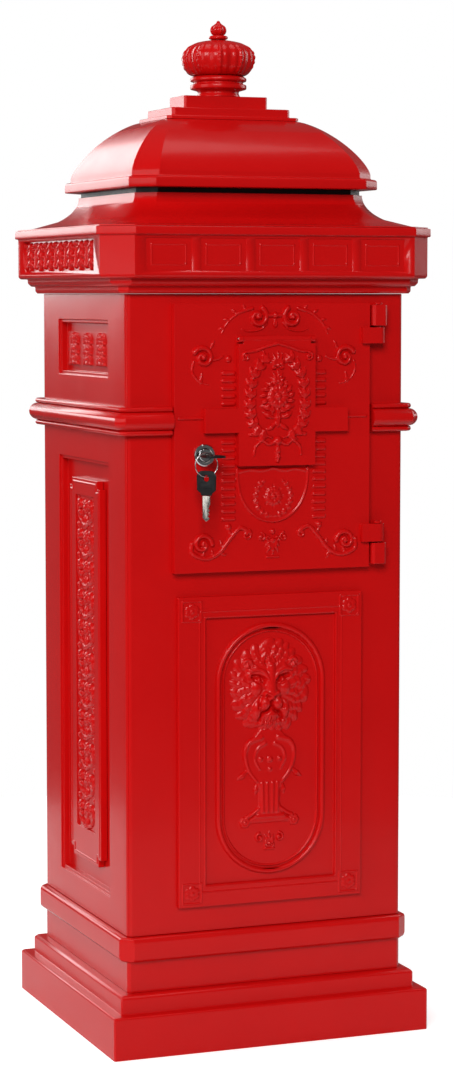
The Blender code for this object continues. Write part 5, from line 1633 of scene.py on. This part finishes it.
class LETTERBOX_OT_side_panels(bpy.types.Operator):
    """Dress the raised side fields and run foliage up them"""

    bl_idname = "letterbox.side_panels"
    bl_label = "Side panels"

    def execute(self, context):
        for side, outward in SIDES:
            nodes = [f"{side}_lower_ornament", f"{side}_upper_ornament"]
            keep(nodes, red_enamel(), 0.0006, 2)
            self.field_edges(side, outward)
            self.strip(side, outward)
            self.upper(side, outward)
        return {"FINISHED"}

    def field_edges(self, side, outward):
        """A fine raised line round the lower field."""
        low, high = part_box(f"{side}_lower_ornament")
        board = Board(low.y, high.y, low.z, high.z, 0.0009)
        half = (high.y - low.y) / 2
        notch = FIELD_NOTCH
        corners = [
            (half - notch, low.z),
            (half - notch, low.z + notch),
            (half, low.z + notch),
            (half, high.z - notch),
            (half - notch, high.z - notch),
            (half - notch, high.z),
        ]
        inset = 0.0040
        line = [(u - inset, v + (inset if v < 0.36 else -inset)) for u, v in corners]
        line += [(-u, v) for u, v in line[::-1]]
        line.append(line[0])
        board.stroke(line, 0.0013, 0.0006)
        face = max(abs(low.x), abs(high.x))
        piece = emboss(f"{side}_field_line", board, facing(outward, face))
        painted(piece, "cabinet")

    def strip(self, side, outward):
        """Foliage that repeats up the strip: a flower between two scrolls, then a leaf."""
        low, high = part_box(f"{side}_lower_ornament")
        face = max(abs(low.x), abs(high.x)) - STRIP_DEPTH
        board = Board(-STRIP_HALF, STRIP_HALF, STRIP_LOW, STRIP_HIGH)
        pitch = (STRIP_HIGH - STRIP_LOW) / STRIP_REPEATS
        for i in range(STRIP_REPEATS):
            z = STRIP_LOW + pitch * (i + 0.5)
            flower(board, (0, z + 0.12 * pitch), 0.0076, 6, 0.0036, 30)
            for mirror in (-1, 1):
                out = mirror * 0.0158
                volute(board, (out, z + 0.18 * pitch), 0.0074, -90, mirror * 1.1, 0.0024, 0.0032)
                link = flow(
                    (mirror * 0.0010, z - 0.50 * pitch),
                    (mirror * 0.0080, z - 0.38 * pitch),
                    (mirror * 0.0180, z - 0.24 * pitch),
                    (mirror * 0.0240, z + 0.02 * pitch),
                )
                board.stroke(link, 0.0024, 0.0030, 0.0020, 0.0024)
                base = (mirror * 0.0165, z - 0.20 * pitch)
                for turn, length in ((62, 0.0120), (20, 0.0105), (-25, 0.0090)):
                    leaf(board, base, 90 - mirror * turn, length, 0.0025, 0.0030, mirror * 35)
                base = (mirror * 0.0050, z - 0.38 * pitch)
                leaf(board, base, 90 - mirror * 80, 0.0110, 0.0024, 0.0028, mirror * -35)
                base = (mirror * 0.0230, z + 0.40 * pitch)
                leaf(board, base, 90 - mirror * 10, 0.0080, 0.0024, 0.0026, mirror * 40)
            leaf(board, (0, z - 0.48 * pitch), 90, 0.0130, 0.0030, 0.0034)
            board.boss((0, z - 0.48 * pitch), 0.0030, 0.0036)
        board.soften()
        piece = emboss(f"{side}_strip_relief", board, facing(outward, face))
        painted(piece, "cabinet")

    def upper(self, side, outward):
        """Three leafy ornaments side by side in the upper panel."""
        low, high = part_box(f"{side}_upper_ornament")
        face = max(abs(low.x), abs(high.x))
        board = Board(low.y, high.y, low.z, high.z, 0.0006)
        middle = (low.z + high.z) / 2
        for u in (-0.042, 0.0, 0.042):
            for rise, radius in ((0.0105, 0.0066), (0.0, 0.0078), (-0.0105, 0.0066)):
                flower(board, (u, middle + rise), radius, 6, 0.0042, 30)
                for mirror in (-1, 1):
                    base = (u + mirror * 0.0050, middle + rise - 0.002)
                    for turn in (30, 75, 120):
                        leaf(board, base, 90 - mirror * turn, 0.0100, 0.0022, 0.0034, mirror * 30)
            board.boss((u, middle - 0.0150), 0.0022, 0.0034)
            board.boss((u, middle + 0.0150), 0.0022, 0.0034)
        board.soften()
        piece = emboss(f"{side}_upper_relief", board, facing(outward, face))
        painted(piece, "cabinet")


class LETTERBOX_OT_frieze(bpy.types.Operator):
    """Run hanging leaves and panels round the cornice's frieze"""

    bl_idname = "letterbox.frieze"
    bl_label = "Frieze"

    def execute(self, context):
        for side in ("left", "right"):
            outward, face = wall_frame(side)
            half = BODY_Y - 0.0180
            board = Board(-half, half, FRIEZE_LOW, FRIEZE_HIGH, 0.0007)
            count = 7
            pitch = 2 * half / count
            for i in range(count):
                self.pendant(board, -half + pitch * (i + 0.5), pitch)
            board.soften()
            place = facing(outward, face - FRIEZE_DEPTH["side"])
            painted(emboss(f"frieze_{side}_relief", board, place), "cabinet")
        for side in ("front", "back"):
            outward, face = wall_frame(side)
            board = Board(-BODY_X, BODY_X, FRIEZE_LOW, FRIEZE_HIGH, 0.0008)
            for k in range(-2, 3):
                u = k * 0.0560
                ends = (u - 0.0185, FRIEZE_LOW + 0.0050, u + 0.0185, FRIEZE_HIGH - 0.0050)
                board.plate(frame_depth(*ends, 0.0020), 0.0006)
            place = facing(outward, face - FRIEZE_DEPTH["front"])
            painted(emboss(f"frieze_{side}_relief", board, place), "cabinet")
        return {"FINISHED"}

    def pendant(self, board, u, pitch):
        """A stack of three swelling lobes under a pair of beads, with leaves between."""
        top = FRIEZE_HIGH
        lobes = ((0.0070, 0.0058, 0.0040), (0.0150, 0.0066, 0.0046), (0.0235, 0.0056, 0.0042))
        for drop, radius, height in lobes:
            at = (u, top - drop)
            board.boss(at, radius, height, 0.6)
            for turn in (-50, 0, 50):
                a = math.radians(-90 + turn)
                tip = (at[0] + radius * math.cos(a), at[1] + radius * math.sin(a))
                board.carve([at, tip], 0.0008, 0.0014)
            for side in (-1, 1):
                base = (u + side * 0.0045, at[1] + 0.0020)
                leaf(board, base, -90 + side * 55, 0.0088, 0.0019, 0.0034, side * -40)
        board.boss((u, top - 0.0290), 0.0024, 0.0034)
        for side in (-1, 1):
            edge = u + side * pitch / 2
            board.boss((edge, top - 0.0040), 0.0030, 0.0040)
            board.boss((edge, top - 0.0265), 0.0026, 0.0034)
            board.stroke([(edge, top - 0.0070), (edge, top - 0.0240)], 0.0012, 0.0018, 0.0024, 0.0028)


# ------------------------------------------------------------------ lock, keys, hinges, inside


class LETTERBOX_OT_lock(bpy.types.Operator):
    """Make the chrome lock with its plug, nut and cam"""

    bl_idname = "letterbox.lock"
    bl_label = "Lock"

    def execute(self, context):
        front, back = LOCK_LOW.y, LOCK_HIGH.y
        bore = 0.0066
        profile = [
            (0.0098, front),
            (0.0108, front + 0.0009),
            (0.0108, front + 0.0036),
            (0.0088, front + 0.0036),
            (0.0088, back - 0.0004),
            (0.0084, back),
            (bore, back),
            (bore, front + 0.0006),
            (bore + 0.0009, front),
        ]
        self.round_piece("lock_housing_visual", profile, "lock_housing", "door")
        low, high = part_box("lock_plug")
        profile = [
            (0.0, low.y + 0.0002),
            (0.0056, low.y + 0.0002),
            (0.0062, low.y + 0.0008),
            (0.0062, high.y),
            (0.0, high.y),
        ]
        plug = self.round_piece("lock_plug_visual", profile, "lock_plug", "lock_plug")
        cut_away(
            plug,
            (LOCK_X - 0.0046, low.y - 0.01, LOCK_Z - 0.0013),
            (LOCK_X + 0.0046, low.y + 0.0175, LOCK_Z + 0.0013),
        )
        plug.data.set_sharp_from_angle(angle=math.radians(35))
        keep(["lock_nut", "lock_cam", "cam_screw"], zinc_plate(), 0.0002)
        return {"FINISHED"}

    def round_piece(self, name, profile, node, body):
        """A piece turned about the lock's axis."""
        steps = 64
        bm = bmesh.new()
        closed = profile[0][0] > 1e-6
        rings = []
        for radius, y in profile:
            if radius < 1e-6:
                rings.append([bm.verts.new((LOCK_X, y, LOCK_Z))])
                continue
            ring = []
            for i in range(steps):
                a = 2 * math.pi * i / steps
                spot = (LOCK_X + radius * math.cos(a), y, LOCK_Z + radius * math.sin(a))
                ring.append(bm.verts.new(spot))
            rings.append(ring)
        pairs = list(zip(rings, rings[1:]))
        if closed:
            pairs.append((rings[-1], rings[0]))
        for first, second in pairs:
            for i in range(steps):
                if len(first) == 1:
                    bm.faces.new((first[0], second[i], second[i - 1]))
                elif len(second) == 1:
                    bm.faces.new((first[i - 1], first[i], second[0]))
                else:
                    bm.faces.new((first[i - 1], first[i], second[i], second[i - 1]))
        piece = mesh_piece(name, bm, 30)
        return dress(piece, chrome(), "chrome", body, node)


def grip_plan(half, far, near, hole):
    """A key's moulded grip seen flat, with its hole."""
    corner = 0.0062
    right = [(half * 0.50, near), (half * 0.58, near - 0.0022), (half * 0.96, near - 0.0052)]
    right += arc((half - corner, far + corner), corner, 0, -90, 10)
    outline = right + [(-x, y) for x, y in right[::-1]]
    return [outline, circle((0, hole), 0.0031, 32)]


def pad_plan(half, low, high):
    """The plain raised pad on a key's grip."""
    return [(-half, low), (half, low), (half, high), (-half, high)]


def blade_plan(length):
    """A key's blade seen flat, cut with wards along one edge."""
    half, y = 0.0040, 0.0003
    points = [(-half, y), (half, y)]
    cuts = (0.0, 0.0011, 0.0018, 0.0006, 0.0020, 0.0012, 0.0022, 0.0008)
    start = length * 0.30
    pitch = (length * 0.62) / len(cuts)
    points.append((half, start - 0.0006))
    for k, depth in enumerate(cuts):
        points.append((half - depth, start + pitch * (k + 0.25)))
        points.append((half - depth, start + pitch * (k + 0.70)))
    points += [(half - 0.0026, length - 0.0010), (0.0, length), (-half + 0.0018, length - 0.0016)]
    points.append((-half, length - 0.0036))
    return points


class LETTERBOX_OT_keys(bpy.types.Operator):
    """Make the key in the lock, the ring and the spare key that hangs from it"""

    bl_idname = "letterbox.keys"
    bl_label = "Keys"

    def execute(self, context):
        low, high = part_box("key_head")
        near, far = high.y, low.y
        self.key("key", Matrix.Translation((LOCK_X, 0, LOCK_Z)), near, far)
        length = near - far
        ring_low, ring_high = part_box("key_ring")
        ring_x, ring_y = (ring_low.x + ring_high.x) / 2, (ring_low.y + ring_high.y) / 2
        hang = Matrix.Translation((ring_x, ring_y, ring_low.z + RING_WIRE - 0.0016))
        turn = Matrix.Rotation(math.radians(-50), 4, "Z")
        upright = turn @ Matrix.Rotation(math.radians(-90), 4, "X")
        shift = Matrix.Translation((0, length - KEY_HOLE_INSET, 0))
        self.key("spare_key", hang @ upright @ shift, 0.0, -length)
        self.ring(ring_low, ring_high)
        return {"FINISHED"}

    def key(self, name, place, near, far):
        """A key lying along Y with its shoulder at near and the end of its grip at far."""
        plan = grip_plan(KEY_HALF, far, near, far + KEY_HOLE_INSET)
        grip = outline_piece(f"{name}_grip", plan, KEY_THICKNESS / 2, 0.0005, 3)
        grip.matrix_world = place
        dress(grip, black_grip_and_seat_shade(), "key_plastic", name, f"{name}_head")
        plan = [pad_plan(0.0058, far + 0.0122, near - 0.0062)]
        pad = outline_piece(f"{name}_grip_pad", plan, 0.00135, 0.0003, 2)
        pad.matrix_world = place
        dress(pad, black_grip_and_seat_shade(), "key_plastic", name)
        plan = [[(x, y + near) for x, y in blade_plan(0.0250)]]
        blade = outline_piece(f"{name}_blade_visual", plan, 0.0009, 0.00025, 1)
        blade.matrix_world = place
        dress(blade, key_metal(), "key_metal", name, f"{name}_blade")
        start, end = near + 0.0008, near + 0.0215
        for k, x in enumerate((-0.0013, 0.0012)):
            left, right = x - 0.00035, x + 0.00035
            plan = [[(left, start), (right, start), (right, end), (left, end)]]
            rib = outline_piece(f"{name}_blade_rib_{k}", plan, 0.00112, 0.00015, 1)
            rib.matrix_world = place
            dress(rib, key_metal(), "key_metal", name)

    def ring(self, low, high):
        """Nearly two close turns of round wire."""
        centre = (low + high) / 2
        radius = (high.x - low.x) / 2 - RING_WIRE
        curve = bpy.data.curves.new("key_ring_visual", "CURVE")
        curve.dimensions = "3D"
        curve.bevel_depth = 0.00042
        curve.bevel_resolution = 3
        curve.use_fill_caps = True
        spline = curve.splines.new("POLY")
        turns, steps = 1.93, 150
        spline.points.add(steps)
        for i, point in enumerate(spline.points):
            t = i / steps
            a = math.radians(-40) + 2 * math.pi * turns * t
            y = centre.y + 0.00040 * math.tanh((t - 0.5) * 9)
            point.co = (centre.x + radius * math.cos(a), y, centre.z + radius * math.sin(a), 1)
        ring = bpy.data.objects.new("key_ring_visual", curve)
        bpy.context.scene.collection.objects.link(ring)
        bpy.context.view_layer.update()
        graph = bpy.context.evaluated_depsgraph_get()
        mesh = bpy.data.meshes.new_from_object(ring.evaluated_get(graph))
        bpy.data.objects.remove(ring)
        mesh.shade_smooth()
        piece = bpy.data.objects.new("key_ring_visual", mesh)
        bpy.context.scene.collection.objects.link(piece)
        dress(piece, bright_steel(), "bright_steel", "key_ring", "key_ring")


class LETTERBOX_OT_hinges(bpy.types.Operator):
    """Dress the hinge lugs and their pins"""

    bl_idname = "letterbox.hinges"
    bl_label = "Hinges"

    def execute(self, context):
        keep(["upper_hinge_lug", "lower_hinge_lug"], red_enamel(), 0.0006, 3)
        keep(["upper_hinge_pin", "lower_hinge_pin"], red_enamel(), 0.0003)
        keep(["upper_lug_screw", "lower_lug_screw"], zinc_plate(), 0.0002)
        return {"FINISHED"}


class LETTERBOX_OT_inside(bpy.types.Operator):
    """Dress the fittings inside: shelf, rails, angles, baffle, bolts and stud"""

    bl_idname = "letterbox.inside"
    bl_label = "Inside fittings"

    def execute(self, context):
        families = ("corner_angle", "base_bolt", "roof_bolt")
        names = [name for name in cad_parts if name.startswith(families)]
        names += ["base_floor_plate", "slot_baffle", "mail_shelf"]
        names += ["left_shelf_rail", "right_shelf_rail", "crown_stud", "crown_nut"]
        keep(sorted(names), zinc_plate(), 0.0003, 1)
        return {"FINISHED"}


FLOOR_RADIUS = 1.25
FLOOR_GLOW = 0.50
ROOM_LIGHT, BACKDROP_LIGHT = 0.12, 1.0

# Each soft light: its name, where it hangs, the height it aims at, its size and its power.
LIGHTS = (
    ("left_soft_light", (-3.0, -0.6, 1.5), 0.55, (1.8, 2.2), 27),
    ("left_fill_light", (-3.0, -0.6, 1.5), 0.55, (1.8, 2.2), 21),
    ("front_soft_light", (-1.6, -3.3, 2.4), 0.55, (2.0, 1.6), 128),
    ("top_soft_light", (0.1, 0.1, 3.4), 0.6, (1.6, 1.6), 16),
    ("right_soft_light", (3.0, 0.6, 1.7), 0.55, (1.6, 2.0), 30),
    ("back_soft_light", (-0.9, 3.2, 1.7), 0.55, (1.8, 2.0), 50),
)

CAMERA_PLACE = (-1.01254, -2.63856, 0.74550)
CAMERA_TILT, CAMERA_TURN = -5.1002, -21.1738
CAMERA_LENS = 91.3869


class LETTERBOX_OT_stage(bpy.types.Operator):
    """Make the floor, the studio light and the camera"""

    bl_idname = "letterbox.stage"
    bl_label = "Stage"

    def execute(self, context):
        self.floor()
        self.light()
        self.camera(context)
        return {"FINISHED"}

    def floor(self):
        bm = bmesh.new()
        bmesh.ops.create_circle(bm, segments=96, radius=FLOOR_RADIUS, cap_ends=True)
        floor = mesh_piece("floor", bm)
        floor.location.z = CAD_BOX[0].z - 0.0002
        made, tree, shader = new_finish("studio_floor")
        pale = tuple(colours().floor)
        near = tuple(0.985 * c for c in pale)
        tint(tree, speckle(tree, 3.0), near, pale, shader.inputs["Base Color"])
        vary(tree, speckle(tree, 40.0), 0.55, 0.70, shader.inputs["Roughness"])
        shader.inputs["Emission Color"].default_value = (1, 1, 1, 1)
        eye = tree.nodes.new("ShaderNodeLightPath")
        glow = tree.nodes.new("ShaderNodeMath")
        glow.operation = "MULTIPLY"
        glow.inputs[1].default_value = FLOOR_GLOW
        tree.links.new(eye.outputs["Is Camera Ray"], glow.inputs[0])
        tree.links.new(glow.outputs["Value"], shader.inputs["Emission Strength"])
        floor.data.materials.append(made)

    def light(self):
        """A bright backdrop for the eye, a dimmer room for the light, and large soft panels."""
        world = bpy.data.worlds.new("studio")
        bpy.context.scene.world = world
        world.use_nodes = True
        tree = world.node_tree
        room = tree.nodes["Background"]
        room.inputs["Color"].default_value = (1.0, 1.0, 1.0, 1)
        room.inputs["Strength"].default_value = ROOM_LIGHT
        backdrop = tree.nodes.new("ShaderNodeBackground")
        backdrop.inputs["Color"].default_value = (1.0, 1.0, 1.0, 1)
        backdrop.inputs["Strength"].default_value = BACKDROP_LIGHT
        path = tree.nodes.new("ShaderNodeLightPath")
        mix = tree.nodes.new("ShaderNodeMixShader")
        tree.links.new(path.outputs["Is Camera Ray"], mix.inputs["Fac"])
        tree.links.new(room.outputs["Background"], mix.inputs[1])
        tree.links.new(backdrop.outputs["Background"], mix.inputs[2])
        tree.links.new(mix.outputs["Shader"], tree.nodes["World Output"].inputs["Surface"])
        for light in LIGHTS:
            self.panel(*light)
        bpy.data.objects["left_fill_light"].visible_glossy = False
        bpy.context.scene.view_settings.view_transform = "Standard"

    def panel(self, name, place, aim_height, size, power):
        """A soft light that the camera does not see."""
        data = bpy.data.lights.new(name, "AREA")
        data.shape = "RECTANGLE"
        data.size, data.size_y = size
        data.energy = power
        lamp = bpy.data.objects.new(name, data)
        bpy.context.scene.collection.objects.link(lamp)
        lamp.location = place
        aim = Vector((0, 0, aim_height)) - Vector(place)
        lamp.rotation_euler = aim.to_track_quat("-Z", "Y").to_euler()
        lamp.visible_camera = False

    def camera(self, context):
        data = bpy.data.cameras.new("camera")
        data.sensor_width = 36
        data.lens = CAMERA_LENS
        data.clip_start, data.clip_end = 0.05, 60
        camera = bpy.data.objects.new("camera", data)
        context.scene.collection.objects.link(camera)
        camera.location = CAMERA_PLACE
        camera.rotation_euler = (math.radians(90 + CAMERA_TILT), 0, math.radians(CAMERA_TURN))
        context.scene.camera = camera


PIECES = (
    LETTERBOX_OT_base,
    LETTERBOX_OT_walls,
    LETTERBOX_OT_mid_belt,
    LETTERBOX_OT_cornice,
    LETTERBOX_OT_roof,
    LETTERBOX_OT_crown,
    LETTERBOX_OT_door,
    LETTERBOX_OT_flap,
    LETTERBOX_OT_front_panel,
    LETTERBOX_OT_side_panels,
    LETTERBOX_OT_frieze,
    LETTERBOX_OT_lock,
    LETTERBOX_OT_keys,
    LETTERBOX_OT_hinges,
    LETTERBOX_OT_inside,
    LETTERBOX_OT_stage,
)


class VIEW3D_PT_letter_box(bpy.types.Panel):
    """The letter box's settings and its pieces"""

    bl_label = "Letter Box"
    bl_idname = "VIEW3D_PT_letter_box"
    bl_space_type = "VIEW_3D"
    bl_region_type = "UI"
    bl_category = "Letter Box"

    def draw(self, context):
        layout = self.layout
        for settings in (sizes(), colours()):
            box = layout.box()
            for name in settings.__annotations__:
                box.prop(settings, name)
        for piece in PIECES:
            layout.operator(piece.bl_idname)


CLASSES = (LetterBoxSizes, LetterBoxColours, *PIECES, VIEW3D_PT_letter_box)


def register():
    for cls in CLASSES:
        bpy.utils.register_class(cls)
    bpy.types.Scene.letter_box_sizes = PointerProperty(type=LetterBoxSizes)
    bpy.types.Scene.letter_box_colours = PointerProperty(type=LetterBoxColours)


def unregister():
    del bpy.types.Scene.letter_box_sizes
    del bpy.types.Scene.letter_box_colours
    for cls in reversed(CLASSES):
        bpy.utils.unregister_class(cls)


def clear_start_scene():
    for name in ("Cube", "Light", "Camera"):
        if name in bpy.data.objects:
            bpy.data.objects.remove(bpy.data.objects[name])


def main():
    register()
    clear_start_scene()
    for piece in PIECES:
        group, name = piece.bl_idname.split(".")
        getattr(getattr(bpy.ops, group), name)()


if __name__ == "__main__":
    main()
